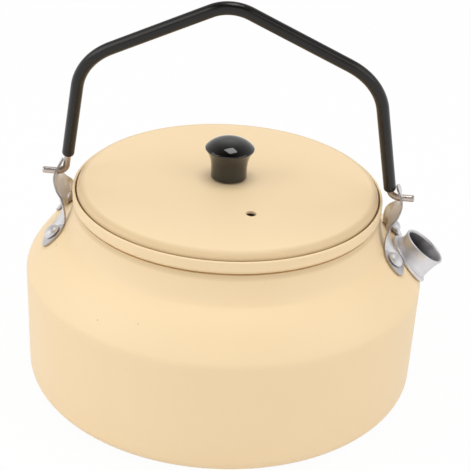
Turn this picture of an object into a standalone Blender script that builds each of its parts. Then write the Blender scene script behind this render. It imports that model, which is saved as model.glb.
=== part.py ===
"""Camping kettle: a low aluminium pot with a recessed lid, a short flared spout and a folding wire bail.

Metres, +Z up, the pot stands on Z = 0. The spout points along +X, and the bail swings about the X direction.
"""
import math

import bmesh
import bpy
import numpy as np
from mathutils import Matrix, Vector

# How finely round things are divided
POT_SIDES = 48
SPOUT_SIDES = 28
KNOB_SIDES = 24
SMALL_SIDES = 12
DRILL_SIDES = 24
ARC_SAG = 0.00008
ARC_STEP_LIMIT = math.radians(45)
BAIL_ARC_STEP = math.radians(11)
DOME_POINTS = 6
FLARE_POINTS = 6
EAR_CURVE_POINTS = 2
EAR_ROW_POINTS = 6
WIRE_BEVEL = 3
SLEEVE_BEVEL = 4
SHARP_ANGLE = math.radians(35)
MERGE_DISTANCE = 0.00001

# Clearances
SEAT_GAP = 0.0003
HOLE_CLEARANCE = 0.0003

# Cutters run well past the sheet they cut
CUTTER_LENGTH = 0.006
PORT_CUT_INSIDE = 0.003
PORT_CUT_OUTSIDE = 0.002

# A point is dropped on the shoulder from this far above the top of the wall, by halving a travel each way
DROP_HEIGHT = 0.015
DROP_TRAVEL = 0.03
DROP_HALVINGS = 40

# Pot, outside sizes
POT_RADIUS = 0.075
WALL_DRAFT = 0.0004
POT_FOOT_WALL_RADIUS = POT_RADIUS - WALL_DRAFT
POT_WALL = 0.001
BASE_CORNER_RADIUS = 0.006
SHOULDER_HEIGHT = 0.0437
SHOULDER_CORNER_RADIUS = 0.0058
SHOULDER_CORNER_ANGLE = math.radians(32)
SHOULDER_CROWN_RADIUS = 0.045
SHOULDER_REACH = 0.0193
NECK_RADIUS = POT_RADIUS - SHOULDER_REACH
NECK_FILLET_RADIUS = 0.006

# Rim: the sheet steps out to a ledge for the lid and rises round it as a plain collar
LEDGE_ABOVE_SHOULDER = 0.0286
LEDGE_HEIGHT = SHOULDER_HEIGHT + LEDGE_ABOVE_SHOULDER
LEDGE_STEP = 0.0009
RIM_INNER_RADIUS = NECK_RADIUS + LEDGE_STEP
RIM_RISE = 0.0039
RIM_TOP = LEDGE_HEIGHT + RIM_RISE
LEDGE_BEND_RADIUS = 0.0003

# Lid
LID_SHEET = 0.001
LID_SIDE_CLEARANCE = 0.0005
LID_RISE = 0.008
LID_CENTRE_HEIGHT = LEDGE_HEIGHT + LID_RISE
LID_CROWN_RADIUS = 0.59
LID_EDGE_RADIUS = 0.0019
VENT_RADIUS = 0.0019
VENT_PLACE = (0.0104, -0.0272)

# Knob and its fixing
KNOB_HEIGHT = 0.015
KNOB_CAP_RADIUS = 0.0095
KNOB_CAP_HEIGHT = 0.0031
KNOB_CAP_EDGE_RADIUS = 0.0009
KNOB_DOME_SPAN = (math.radians(78), math.radians(18))
KNOB_CAP_EDGE_SPAN = (math.radians(15), math.radians(-75))
KNOB_FLARE_POWER = 2.6
KNOB_STEM_RADIUS = 0.0067
KNOB_STEM_LENGTH = 0.0062
KNOB_FOOT_ROUNDING = 0.0006
INSERT_RADIUS = 0.0029
INSERT_LENGTH = 0.0085
INSERT_BORE_DEPTH = 0.007
SCREW_RADIUS = 0.002
SCREW_GRIP = 0.0055
SCREW_HEAD_RADIUS = 0.0037
SCREW_HEAD_HEIGHT = 0.0024
SCREW_HEAD_ROUNDING = 0.0012
WASHER_RADIUS = 0.0055
WASHER_THICKNESS = 0.0008

# Spout: its oval foot is centred a climb up the shoulder from the top of the wall.
# Half sizes of the foot are (across, up the shoulder).
SPOUT_CLIMB = 0.0103
SPOUT_BORE = (0.0074, 0.0069)
SPOUT_WALL = 0.0009
FLANGE = (0.0098, 0.0093)
FLANGE_THICKNESS = 0.0012
FLANGE_BEAD = 0.0004
CURL = (0.0094, 0.0090)
CURL_THICKNESS = 0.0009
SPOUT_ROOT = (0.0088, 0.0084)
SPOUT_WAIST = 0.0005
MOUTH_RADIUS = 0.0085
MOUTH_AHEAD = 0.0053
MOUTH_RISE = 0.0055
MOUTH_TILT = math.radians(55)
SPOUT_SWEEP = 0.006
NECK_SHARES = (0.0, 0.2, 0.4, 0.6, 0.8, 0.92, 1.0)

# Ears: bent sheet brackets, feet riveted to the shoulder
EAR_SHEET = 0.0007
RIVET_OUT_OF_NECK = 0.0072
RIVET_REACH = NECK_RADIUS + RIVET_OUT_OF_NECK
RIVET_SPACING = 0.0276
EYE_ABOVE_RIM = 0.0013
EYE_HEIGHT = RIM_TOP + EYE_ABOVE_RIM
EAR_BULGE_OUT = 0.0015
EAR_BULGE_REACH = RIVET_REACH + EAR_BULGE_OUT
EAR_BULGE_BELOW_EYE = 0.0006
EAR_BOW_LOWER = 45.0
EAR_BOW_UPPER = 80.0
EAR_WRAP = 13.0
EAR_WRAP_FADE = 0.01
EAR_TOP_ABOVE_EYE = 0.0047

# Rivets
RIVET_SHANK_RADIUS = 0.0016
RIVET_HEAD_RADIUS = 0.0031
RIVET_HEAD_HEIGHT = 0.0022
RIVET_TAIL_RADIUS = 0.0027
RIVET_TAIL_HEIGHT = 0.0012
RIVET_TAIL_END_RADIUS = 0.0019

# Bail: a wire bent to a gable, its ends turned out through the ears, in a soft sleeve
WIRE_RADIUS = 0.00125
BAIL_LEG_INSIDE_EAR = 0.0036
BAIL_LEG_REACH = EAR_BULGE_REACH - BAIL_LEG_INSIDE_EAR
BAIL_END_OUTSIDE_EAR = 0.005
BAIL_END_REACH = EAR_BULGE_REACH + BAIL_END_OUTSIDE_EAR
BAIL_LEG_DRAW_IN = 0.0091
BAIL_CORNER_REACH = BAIL_LEG_REACH - BAIL_LEG_DRAW_IN
BAIL_CORNER_RISE = 0.0536
BAIL_PEAK_RISE = 0.0816
BAIL_PIN_BEND = 0.004
BAIL_CORNER_BEND = 0.025
BAIL_PEAK_BEND = 0.014
BAIL_LEAN = math.radians(17.7)
BAIL_SIDE_PLAY = 0.0004
SLEEVE_RADIUS = 0.00228
SLEEVE_CLEARANCE = 0.0002
SLEEVE_END_SHARE = 0.78
SLEEVE_END_TAPER = 0.0008
SLEEVE_START_LEFT = 0.0092
SLEEVE_START_RIGHT = 0.0040


def clear_scene():
    for thing in list(bpy.data.objects):
        bpy.data.objects.remove(thing, do_unlink=True)


def collection_named(name):
    made = bpy.data.collections.new(name)
    bpy.context.scene.collection.children.link(made)
    return made


def material(name, colour, roughness, metallic):
    made = bpy.data.materials.new(name)
    made.use_nodes = True
    shader = made.node_tree.nodes["Principled BSDF"]
    shader.inputs["Base Color"].default_value = (*colour, 1.0)
    shader.inputs["Roughness"].default_value = roughness
    shader.inputs["Metallic"].default_value = metallic
    made.diffuse_color = (*colour, 1.0)
    return made


def add_object(name, mesh, finish, parent=None):
    thing = bpy.data.objects.new(name, mesh)
    parts.objects.link(thing)
    if finish is not None:
        mesh.materials.clear()
        mesh.materials.append(finish)
    thing.parent = parent
    mesh.shade_smooth()
    mesh.set_sharp_from_angle(angle=SHARP_ANGLE)
    return thing


def add_axis(name, place):
    """An empty that carries the pieces of one moving body, on the joint's axis."""
    axis = bpy.data.objects.new(name, None)
    axis.empty_display_size = 0.01
    axis.location = place
    parts.objects.link(axis)
    return axis


def arc(centre, radius, start, end):
    """Points of an arc in the profile plane, from start to end angle, both included."""
    step = min(ARC_STEP_LIMIT, 2 * math.acos(1 - ARC_SAG / radius))
    steps = max(2, math.ceil(abs(end - start) / step))
    turns = np.linspace(start, end, steps + 1)
    return [(centre[0] + radius * math.cos(a), centre[1] + radius * math.sin(a)) for a in turns]


def turned(name, profile, sides, finish, parent=None, wall=None):
    """A profile of (radius, height) points turned about Z; given a wall, an open one is thickened inward."""
    mesh = bpy.data.meshes.new(name)
    edges = [(i, i + 1) for i in range(len(profile) - 1)]
    mesh.from_pydata([(r, 0.0, z) for r, z in profile], edges, [])
    thing = add_object(name, mesh, finish, parent)
    screw = thing.modifiers.new("Turn", "SCREW")
    screw.steps = sides
    screw.render_steps = sides
    screw.use_merge_vertices = True
    screw.merge_threshold = MERGE_DISTANCE
    if wall is not None:
        shell = thing.modifiers.new("Wall", "SOLIDIFY")
        shell.thickness = wall
        shell.offset = -1.0
        shell.use_even_offset = True
    return thing


def cut(thing, cutter):
    hole = thing.modifiers.new("Cut", "BOOLEAN")
    hole.operation = "DIFFERENCE"
    hole.object = cutter
    hole.solver = "EXACT"


def as_cutter(thing):
    thing.hide_render = True
    thing.display_type = "WIRE"
    parts.objects.unlink(thing)
    cutters.objects.link(thing)


def drill(name, place, direction, radius):
    """A cylinder cutter centred at place, along direction."""
    mesh = bpy.data.meshes.new(name)
    shape = bmesh.new()
    bmesh.ops.create_cone(shape, cap_ends=True, segments=DRILL_SIDES, radius1=radius, radius2=radius,
                          depth=CUTTER_LENGTH)
    shape.to_mesh(mesh)
    shape.free()
    cutter = bpy.data.objects.new(name, mesh)
    cutter.matrix_world = Matrix.Translation(place) @ along(direction)
    parts.objects.link(cutter)
    as_cutter(cutter)
    return cutter


def along(direction):
    """The rotation that turns +Z to a direction."""
    return Vector(direction).to_track_quat("Z", "Y").to_matrix().to_4x4()


def crown_centre():
    """Centre of the shoulder's crown arc, tangent to the corner arc where that one ends."""
    drop = SHOULDER_CROWN_RADIUS - SHOULDER_CORNER_RADIUS
    return (POT_RADIUS - SHOULDER_CORNER_RADIUS - drop * math.cos(SHOULDER_CORNER_ANGLE),
            SHOULDER_HEIGHT - drop * math.sin(SHOULDER_CORNER_ANGLE))


def neck_fillet():
    """Centre of the fillet between crown and neck, and the angle where it leaves the crown arc."""
    crown = crown_centre()
    reach = NECK_RADIUS + NECK_FILLET_RADIUS
    span = SHOULDER_CROWN_RADIUS + NECK_FILLET_RADIUS
    turn = math.acos((reach - crown[0]) / span)
    return (reach, crown[1] + span * math.sin(turn)), turn


def shoulder_distance(points):
    """How far each point lies outside the pot's shoulder and wall, negative inside."""
    reach = np.hypot(points[:, 0], points[:, 1])
    height = points[:, 2]
    crown = crown_centre()
    corner = (POT_RADIUS - SHOULDER_CORNER_RADIUS, SHOULDER_HEIGHT)
    on_crown = np.hypot(reach - crown[0], height - crown[1]) - SHOULDER_CROWN_RADIUS
    on_corner = np.hypot(reach - corner[0], height - corner[1]) - SHOULDER_CORNER_RADIUS
    turn = np.arctan2(height - corner[1], reach - corner[0])
    distance = np.where(turn > SHOULDER_CORNER_ANGLE, on_crown, on_corner)
    return np.where(height < SHOULDER_HEIGHT, reach - POT_RADIUS, distance)


def dropped(points, distance):
    """Points moved straight up or down until each lies at a distance outside the shoulder."""
    upward = np.array([0.0, 0.0, 1.0])
    low = np.full(len(points), -DROP_TRAVEL)
    high = np.full(len(points), DROP_TRAVEL)
    for _ in range(DROP_HALVINGS):
        middle = (low + high) / 2
        outside = shoulder_distance(points + middle[:, None] * upward) > distance
        high = np.where(outside, middle, high)
        low = np.where(outside, low, middle)
    return points + ((low + high) / 2)[:, None] * upward


def dropped_from_above(reach, side_step, distance):
    above = np.array([[reach, side_step, SHOULDER_HEIGHT + DROP_HEIGHT]])
    return dropped(above, distance)[0]


def shoulder_section(climb):
    """Reach, height and tilt of the outer surface at arc lengths up from the top of the wall."""
    climb = np.asarray(climb, float)
    corner_length = SHOULDER_CORNER_RADIUS * SHOULDER_CORNER_ANGLE
    past_corner = np.maximum(climb - corner_length, 0)
    tilt = np.clip(climb, 0, corner_length) / SHOULDER_CORNER_RADIUS + past_corner / SHOULDER_CROWN_RADIUS
    crown = crown_centre()
    radius = np.where(past_corner > 0, SHOULDER_CROWN_RADIUS, SHOULDER_CORNER_RADIUS)
    middle = np.where(past_corner > 0, crown[0], POT_RADIUS - SHOULDER_CORNER_RADIUS)
    level = np.where(past_corner > 0, crown[1], SHOULDER_HEIGHT)
    return middle + radius * np.cos(tilt), level + radius * np.sin(tilt) + np.minimum(climb, 0), tilt


def shoulder_place(reach, side_step=0.0):
    """The point of the outer shoulder above (reach, side_step), and the outward normal there."""
    point = dropped_from_above(reach, side_step, 0.0)
    crown = crown_centre()
    radius = math.hypot(reach, side_step)
    tilt = math.atan2(point[2] - crown[1], radius - crown[0])
    outward = Vector((reach / radius, side_step / radius, 0.0))
    return Vector(point), outward * math.cos(tilt) + Vector((0, 0, math.sin(tilt)))


def loft(name, rings, joined_ends, finish, wrapped=True):
    """A mesh through rows of points. Wrapped rows are closed rings.

    The last ring joins the first when the ends are joined; a wrapped loft is capped otherwise.
    """
    grid = np.asarray(rings, float)
    count, across = grid.shape[:2]
    rows = count if joined_ends else count - 1
    columns = across if wrapped else across - 1
    faces = []
    for i in range(rows):
        for j in range(columns):
            nxt = (i + 1) % count
            side = (j + 1) % across
            faces.append((i * across + j, i * across + side, nxt * across + side, nxt * across + j))
    if wrapped and not joined_ends:
        faces.append(tuple(range(across))[::-1])
        faces.append(tuple(range((count - 1) * across, count * across)))
    mesh = bpy.data.meshes.new(name)
    mesh.from_pydata(grid.reshape(-1, 3).tolist(), [], faces)
    mesh.update()
    return add_object(name, mesh, finish)


def pot_profile():
    """The outer side of the sheet, from the top of the rim down to the centre of the base."""
    rim_outer = RIM_INNER_RADIUS + POT_WALL
    outer_bend = LEDGE_BEND_RADIUS + POT_WALL
    ledge_under = LEDGE_HEIGHT - POT_WALL
    fillet, turn = neck_fillet()
    crown = crown_centre()
    corner = (POT_RADIUS - SHOULDER_CORNER_RADIUS, SHOULDER_HEIGHT)
    base_corner = (POT_FOOT_WALL_RADIUS - BASE_CORNER_RADIUS, BASE_CORNER_RADIUS)
    points = [(rim_outer, RIM_TOP)]
    points += arc((rim_outer - outer_bend, ledge_under + outer_bend), outer_bend, 0.0, -math.pi / 2)
    points += arc((NECK_RADIUS + LEDGE_BEND_RADIUS, ledge_under - LEDGE_BEND_RADIUS), LEDGE_BEND_RADIUS,
                  math.pi / 2, math.pi)
    points += arc(fillet, NECK_FILLET_RADIUS, math.pi, math.pi + turn)
    points += arc(crown, SHOULDER_CROWN_RADIUS, turn, SHOULDER_CORNER_ANGLE)[1:]
    points += arc(corner, SHOULDER_CORNER_RADIUS, SHOULDER_CORNER_ANGLE, 0.0)[1:]
    points += arc(base_corner, BASE_CORNER_RADIUS, 0.0, -math.pi / 2)
    points += [(0.0, 0.0)]
    return points


def build_pot(finish):
    pot = turned("pot_body", pot_profile(), POT_SIDES, finish, wall=POT_WALL)
    port = grown(SPOUT_BORE, SPOUT_WALL + HOLE_CLEARANCE)
    ends = [oval_on_shoulder(port, -PORT_CUT_INSIDE), oval_on_shoulder(port, PORT_CUT_OUTSIDE)]
    plug = loft("port_cutter", ends, False, None)
    as_cutter(plug)
    cut(pot, plug)
    for name, place, normal in rivet_places():
        cut(pot, drill(name + "_cutter", place, normal, RIVET_SHANK_RADIUS + HOLE_CLEARANCE))
    return pot


def lid_profile():
    """The lid's upper side, from the centre out and down to the lower edge of its skirt."""
    skirt = RIM_INNER_RADIUS - LID_SIDE_CLEARANCE
    crown_z = LID_CENTRE_HEIGHT - LID_CROWN_RADIUS
    reach = skirt - LID_EDGE_RADIUS
    turn = math.acos(reach / (LID_CROWN_RADIUS - LID_EDGE_RADIUS))
    edge = (reach, crown_z + (LID_CROWN_RADIUS - LID_EDGE_RADIUS) * math.sin(turn))
    points = [(0.0, LID_CENTRE_HEIGHT)]
    points += arc((0.0, crown_z), LID_CROWN_RADIUS, math.pi / 2, turn)[1:-1]
    points += arc(edge, LID_EDGE_RADIUS, turn, 0.0)
    return points + [(skirt, LEDGE_HEIGHT + SEAT_GAP)]


def build_lid(finish, parent):
    lid = turned("lid", lid_profile(), POT_SIDES, finish, parent, wall=LID_SHEET)
    middle = LID_CENTRE_HEIGHT - LID_SHEET / 2
    cut(lid, drill("screw_hole_cutter", (0, 0, middle), (0, 0, 1), SCREW_RADIUS + HOLE_CLEARANCE))
    cut(lid, drill("vent_cutter", (*VENT_PLACE, middle), (0, 0, 1), VENT_RADIUS))
    return lid


def build_knob(black, brass, steel, parent):
    """The moulded knob, the threaded insert in it, and the screw and washer that hold it from inside."""
    base = LID_CENTRE_HEIGHT + SEAT_GAP
    top = base + KNOB_HEIGHT
    socket_radius = INSERT_RADIUS + SEAT_GAP
    socket_top = base + INSERT_LENGTH + SEAT_GAP
    cap_edge = (KNOB_CAP_RADIUS - KNOB_CAP_EDGE_RADIUS, top - KNOB_CAP_HEIGHT)
    flare_bottom = base + KNOB_STEM_LENGTH
    flare_top = cap_edge[1] - KNOB_CAP_EDGE_RADIUS
    profile = [(0.0, top)]
    for a in np.linspace(*KNOB_DOME_SPAN, DOME_POINTS):
        profile.append((KNOB_CAP_RADIUS * math.cos(a), cap_edge[1] + KNOB_CAP_HEIGHT * math.sin(a)))
    profile += arc(cap_edge, KNOB_CAP_EDGE_RADIUS, *KNOB_CAP_EDGE_SPAN)
    for t in np.linspace(0.0, 1.0, FLARE_POINTS + 1)[1:]:
        reach = KNOB_STEM_RADIUS + (cap_edge[0] - KNOB_STEM_RADIUS) * (1 - t) ** KNOB_FLARE_POWER
        profile.append((reach, flare_top + (flare_bottom - flare_top) * t))
    profile += arc((KNOB_STEM_RADIUS - KNOB_FOOT_ROUNDING, base + KNOB_FOOT_ROUNDING), KNOB_FOOT_ROUNDING,
                   0.0, -math.pi / 2)
    profile += [(socket_radius, base), (socket_radius, socket_top), (0.0, socket_top)]
    turned("lid_knob", profile, KNOB_SIDES, black, parent)

    bore = SCREW_RADIUS + SEAT_GAP
    insert_top = base + INSERT_LENGTH
    bore_top = base + INSERT_BORE_DEPTH
    turned("knob_insert", [(0.0, insert_top), (INSERT_RADIUS, insert_top), (INSERT_RADIUS, base), (bore, base),
                           (bore, bore_top), (0.0, bore_top)], SMALL_SIDES, brass, parent)

    washer_top = LID_CENTRE_HEIGHT - LID_SHEET - SEAT_GAP
    washer_bottom = washer_top - WASHER_THICKNESS
    ring = [(WASHER_RADIUS, washer_top), (WASHER_RADIUS, washer_bottom), (bore, washer_bottom),
            (bore, washer_top), (WASHER_RADIUS, washer_top)]
    turned("knob_washer", ring, SMALL_SIDES, steel, parent)

    head_top = washer_bottom - SEAT_GAP
    head_bottom = head_top - SCREW_HEAD_HEIGHT
    screw = [(0.0, base + SCREW_GRIP), (SCREW_RADIUS, base + SCREW_GRIP), (SCREW_RADIUS, head_top),
             (SCREW_HEAD_RADIUS, head_top)]
    screw += arc((SCREW_HEAD_RADIUS - SCREW_HEAD_ROUNDING, head_bottom + SCREW_HEAD_ROUNDING),
                 SCREW_HEAD_ROUNDING, 0.0, -math.pi / 2)
    screw += [(0.0, head_bottom)]
    turned("knob_screw", screw, SMALL_SIDES, steel, parent)


def grown(half_sizes, amount):
    return (half_sizes[0] + amount, half_sizes[1] + amount)


def oval_on_shoulder(half_sizes, distance):
    """A ring round the spout's foot that lies on the curved shoulder, at a distance outside it."""
    turns = np.linspace(0, 2 * math.pi, SPOUT_SIDES, endpoint=False)
    reach, height, tilt = shoulder_section(SPOUT_CLIMB + half_sizes[1] * np.sin(turns))
    around = half_sizes[0] * np.cos(turns) / shoulder_section(SPOUT_CLIMB)[0]
    reach = reach + distance * np.cos(tilt)
    return np.column_stack([reach * np.cos(around), reach * np.sin(around), height + distance * np.sin(tilt)])


def ring_round(centre, normal, radius):
    side = np.array([0.0, 1.0, 0.0])
    upward = np.cross(normal, side)
    turns = np.linspace(0, 2 * math.pi, SPOUT_SIDES, endpoint=False)[:, None]
    return centre + radius * (np.cos(turns) * side + np.sin(turns) * upward)


def build_spout(finish):
    """A loft: flange and inner curl lie on the curved shoulder, the neck sweeps up to the tilted mouth."""
    reach, height, tilt = shoulder_section(SPOUT_CLIMB)
    axis = np.array([math.cos(tilt), 0.0, math.sin(tilt)])
    mouth_place = np.array([reach + MOUTH_AHEAD, 0.0, height + MOUTH_RISE])
    mouth_axis = np.array([math.cos(MOUTH_TILT), 0.0, math.sin(MOUTH_TILT)])

    def neck(t, root, end_radius, root_distance):
        """A ring part of the way from the flange to the mouth, on a curve square to both."""
        waist = SPOUT_WAIST * math.sin(math.pi * t)
        start = oval_on_shoulder(grown(root, -waist), root_distance)
        end = ring_round(mouth_place, mouth_axis, end_radius - waist)
        bend = SPOUT_SWEEP * (t * (1 - t) ** 2 * axis - t ** 2 * (1 - t) * mouth_axis)
        return start + (end - start) * t * t * (3 - 2 * t) + bend

    under_flange = SEAT_GAP
    over_flange = under_flange + FLANGE_THICKNESS
    over_curl = -POT_WALL - SEAT_GAP
    under_curl = over_curl - CURL_THICKNESS
    tube = grown(SPOUT_BORE, SPOUT_WALL)
    lip = ring_round(mouth_place + mouth_axis * SPOUT_WALL / 2, mouth_axis, MOUTH_RADIUS - SPOUT_WALL / 2)
    rings = [oval_on_shoulder(SPOUT_BORE, under_curl), oval_on_shoulder(CURL, under_curl),
             oval_on_shoulder(CURL, over_curl), oval_on_shoulder(tube, over_curl),
             oval_on_shoulder(tube, under_flange), oval_on_shoulder(FLANGE, under_flange),
             oval_on_shoulder(grown(FLANGE, FLANGE_BEAD), (under_flange + over_flange) / 2),
             oval_on_shoulder(FLANGE, over_flange)]
    rings += [neck(t, SPOUT_ROOT, MOUTH_RADIUS, over_flange) for t in NECK_SHARES]
    rings += [lip]
    bore_end = MOUTH_RADIUS - SPOUT_WALL
    rings += [neck(t, SPOUT_BORE, bore_end, under_flange) for t in reversed(NECK_SHARES)]
    return loft("spout", rings, True, finish)


def smooth_path(points, between):
    """Catmull-Rom points through the given ones, with a number of steps between each pair."""
    points = np.asarray(points, float)
    padded = np.vstack([2 * points[0] - points[1], points, 2 * points[-1] - points[-2]])
    out = []
    for i in range(1, len(padded) - 2):
        p0, p1, p2, p3 = padded[i - 1:i + 3]
        for t in np.linspace(0, 1, between, endpoint=False):
            out.append(0.5 * (2 * p1 + (p2 - p0) * t + (2 * p0 - 5 * p1 + 4 * p2 - p3) * t ** 2
                              + (3 * p1 - p0 - 3 * p2 + p3) * t ** 3))
    out.append(points[-1])
    return np.array(out)


def ear_reach(side_step, height):
    """How far out the ear's plate stands: bowed about the eye, its lower corners drawn in round the rim."""
    from_bulge = height - (EYE_HEIGHT - EAR_BULGE_BELOW_EYE)
    bow = np.where(from_bulge < 0, EAR_BOW_LOWER, EAR_BOW_UPPER)
    low = np.clip(-from_bulge / EAR_WRAP_FADE, 0, 1)
    return EAR_BULGE_REACH - bow * from_bulge ** 2 - EAR_WRAP * low * side_step ** 2


def ear_edges():
    """Pairs of edge points of half an ear, from the toe to the middle: on the outer edge and on the inner one.

    Foot points are (outward, towards the middle) from the rivet and lie on the shoulder.
    Shank points are (outward from the rivet, sideways, height from the eye).
    Plate points are (sideways, height from the eye), on the bowed upright plate.
    """
    foot = [((0.0023, -0.0053), (0.0004, -0.0052)),
            ((0.0036, -0.0038), (-0.0012, -0.0041)),
            ((0.0041, -0.0014), (-0.0025, -0.0022)),
            ((0.0042, 0.0022), (-0.0031, 0.0002)),
            ((0.0037, 0.0050), (-0.0033, 0.0020))]
    shank = [((0.0020, -0.0083, -0.0190), (-0.0035, -0.0112, -0.0143)),
             ((0.0003, -0.0076, -0.0167), (-0.0034, -0.0111, -0.0117)),
             ((-0.0016, -0.0068, -0.0141), (-0.0028, -0.0105, -0.0093)),
             ((-0.0023, -0.0056, -0.0117), (-0.0016, -0.0089, -0.0070))]
    plate = [((-0.0038, -0.0103), (-0.0070, -0.0040)),
             ((-0.0019, -0.0098), (-0.0060, 0.0002)),
             ((-0.0006, -0.0097), (-0.0037, 0.0036)),
             ((0.0, -0.0097), (0.0, EAR_TOP_ABOVE_EYE))]
    return foot, shank, plate


def ear_surface(between, across):
    """Grid of points of one ear's middle surface, on the +X side, from front toe to rear toe."""
    foot, shank, plate = ear_edges()
    half = RIVET_SPACING / 2
    seat = SEAT_GAP + EAR_SHEET / 2

    def seated(outward, inward):
        return dropped_from_above(RIVET_REACH + outward, inward - half, seat)

    def bent(outward, sideways, height):
        return np.array([RIVET_REACH + outward, sideways, EYE_HEIGHT + height])

    def upright(sideways, height):
        return np.array([ear_reach(sideways, EYE_HEIGHT + height), sideways, EYE_HEIGHT + height])

    edges = []
    for pick in (0, 1):
        points = [seated(*pair[pick]) for pair in foot]
        points += [bent(*pair[pick]) for pair in shank]
        points += [upright(*pair[pick]) for pair in plate]
        edges.append(smooth_path(points, between))
    share = np.linspace(0, 1, across)[None, :, None]
    grid = edges[0][:, None, :] * (1 - share) + edges[1][:, None, :] * share
    station = np.arange(len(grid)) / between
    on_foot = np.clip(len(foot) - station, 0, 1)
    on_plate = np.clip(station - len(foot) - len(shank) + 1, 0, 1)
    for i, row in enumerate(grid):
        if on_foot[i] > 0:
            seats = dropped(row, seat)
            row[:, 2] += (seats[:, 2] - row[:, 2]) * on_foot[i]
        row[:, 0] += (ear_reach(row[:, 1], row[:, 2]) - row[:, 0]) * on_plate[i]
    mirrored = grid[-2::-1] * (1, -1, 1)
    return np.concatenate([grid, mirrored])


def build_ear(name, side, finish):
    """One bent sheet ear; side is 1 over the spout and -1 opposite it."""
    grid = ear_surface(EAR_CURVE_POINTS, EAR_ROW_POINTS)
    if side < 0:
        grid = grid[:, ::-1] * (-1, 1, 1)
    ear = loft(name, grid, False, finish, wrapped=False)
    sheet = ear.modifiers.new("Sheet", "SOLIDIFY")
    sheet.thickness = EAR_SHEET
    sheet.offset = 0.0
    sheet.use_even_offset = True
    eye = (side * EAR_BULGE_REACH, 0.0, EYE_HEIGHT)
    cut(ear, drill(name + "_eye_cutter", eye, (1, 0, 0), WIRE_RADIUS + HOLE_CLEARANCE))
    for rivet, place, normal in rivet_places():
        if rivet.startswith("rivet_" + name.split("_")[1]):
            cut(ear, drill(rivet + "_ear_cutter", place, normal, RIVET_SHANK_RADIUS + HOLE_CLEARANCE))
    return ear


def rivet_places():
    """Name, surface point and outward normal of the four rivets."""
    found = []
    for side_name, side in (("left", -1), ("right", 1)):
        for end_name, end in (("front", -1), ("rear", 1)):
            place, normal = shoulder_place(RIVET_REACH, end * RIVET_SPACING / 2)
            place = Vector((side * place.x, place.y, place.z))
            normal = Vector((side * normal.x, normal.y, normal.z))
            found.append((f"rivet_{side_name}_{end_name}", place, normal))
    return found


def build_rivets(finish):
    """Round-headed rivets through the ears' feet, their tails set inside the pot."""
    head_base = 2 * SEAT_GAP + EAR_SHEET
    tail_top = -POT_WALL - SEAT_GAP
    tail_bottom = tail_top - RIVET_TAIL_HEIGHT
    dome = [(RIVET_HEAD_RADIUS * math.cos(a), head_base + RIVET_HEAD_HEIGHT * math.sin(a))
            for a in np.linspace(math.pi / 2, 0, DOME_POINTS)]
    dome[0] = (0.0, head_base + RIVET_HEAD_HEIGHT)
    profile = dome + [(RIVET_SHANK_RADIUS, head_base), (RIVET_SHANK_RADIUS, tail_top),
                      (RIVET_TAIL_RADIUS, tail_top), (RIVET_TAIL_RADIUS, tail_top - RIVET_TAIL_HEIGHT / 2),
                      (RIVET_TAIL_END_RADIUS, tail_bottom), (0.0, tail_bottom)]
    for name, place, normal in rivet_places():
        rivet = turned(name, profile, SMALL_SIDES, finish)
        rivet.matrix_world = Matrix.Translation(place) @ along(normal)


def rounded_route(corners, radii):
    """Points along straight runs joined by arcs of the given radii; ends have radius 0."""
    corners = [np.array(c, float) for c in corners]
    route = [corners[0]]
    for before, corner, after, radius in zip(corners, corners[1:], corners[2:], radii):
        to_before = (before - corner) / np.linalg.norm(before - corner)
        to_after = (after - corner) / np.linalg.norm(after - corner)
        opening = math.acos(float(to_before @ to_after))
        middle = to_before + to_after
        centre = corner + middle / np.linalg.norm(middle) * radius / math.sin(opening / 2)
        start = corner + to_before * radius / math.tan(opening / 2) - centre
        sweep = math.pi - opening
        ahead = -to_before
        for a in np.linspace(0, sweep, max(3, math.ceil(sweep / BAIL_ARC_STEP)) + 1):
            route.append(centre + start * math.cos(a) + ahead * radius * math.sin(a))
    route.append(corners[-1])
    return route


def bail_corners():
    """The bail's corner points in its own plane: (along the pin axis, up the leg)."""
    half = [(BAIL_END_REACH, 0.0), (BAIL_LEG_REACH, 0.0), (BAIL_CORNER_REACH, BAIL_CORNER_RISE)]
    return [(-x, z) for x, z in half] + [(0.0, BAIL_PEAK_RISE)] + half[::-1]


def in_bail_plane(points):
    return [(p[0] - BAIL_SIDE_PLAY, -p[1] * math.sin(BAIL_LEAN), p[1] * math.cos(BAIL_LEAN)) for p in points]


def swept_rod(name, points, radius, resolution, finish, parent, end_share=1.0):
    """A round rod along a route, made a mesh with welded caps; its ends have a share of the radius."""
    curve = bpy.data.curves.new(name + "_route", "CURVE")
    curve.dimensions = "3D"
    curve.bevel_depth = radius
    curve.bevel_resolution = resolution
    curve.use_fill_caps = True
    spline = curve.splines.new("POLY")
    spline.points.add(len(points) - 1)
    for spot, point in zip(spline.points, points):
        spot.co = (*point, 1.0)
    spline.points[0].radius = end_share
    spline.points[-1].radius = end_share
    guide = bpy.data.objects.new(name + "_route", curve)
    parts.objects.link(guide)
    bpy.context.view_layer.update()
    mesh = bpy.data.meshes.new_from_object(guide.evaluated_get(bpy.context.evaluated_depsgraph_get()))
    bpy.data.objects.remove(guide, do_unlink=True)
    bpy.data.curves.remove(curve)
    shape = bmesh.new()
    shape.from_mesh(mesh)
    bmesh.ops.remove_doubles(shape, verts=shape.verts, dist=MERGE_DISTANCE)
    bmesh.ops.recalc_face_normals(shape, faces=shape.faces)
    shape.to_mesh(mesh)
    shape.free()
    mesh.name = name
    return add_object(name, mesh, finish, parent)


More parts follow.
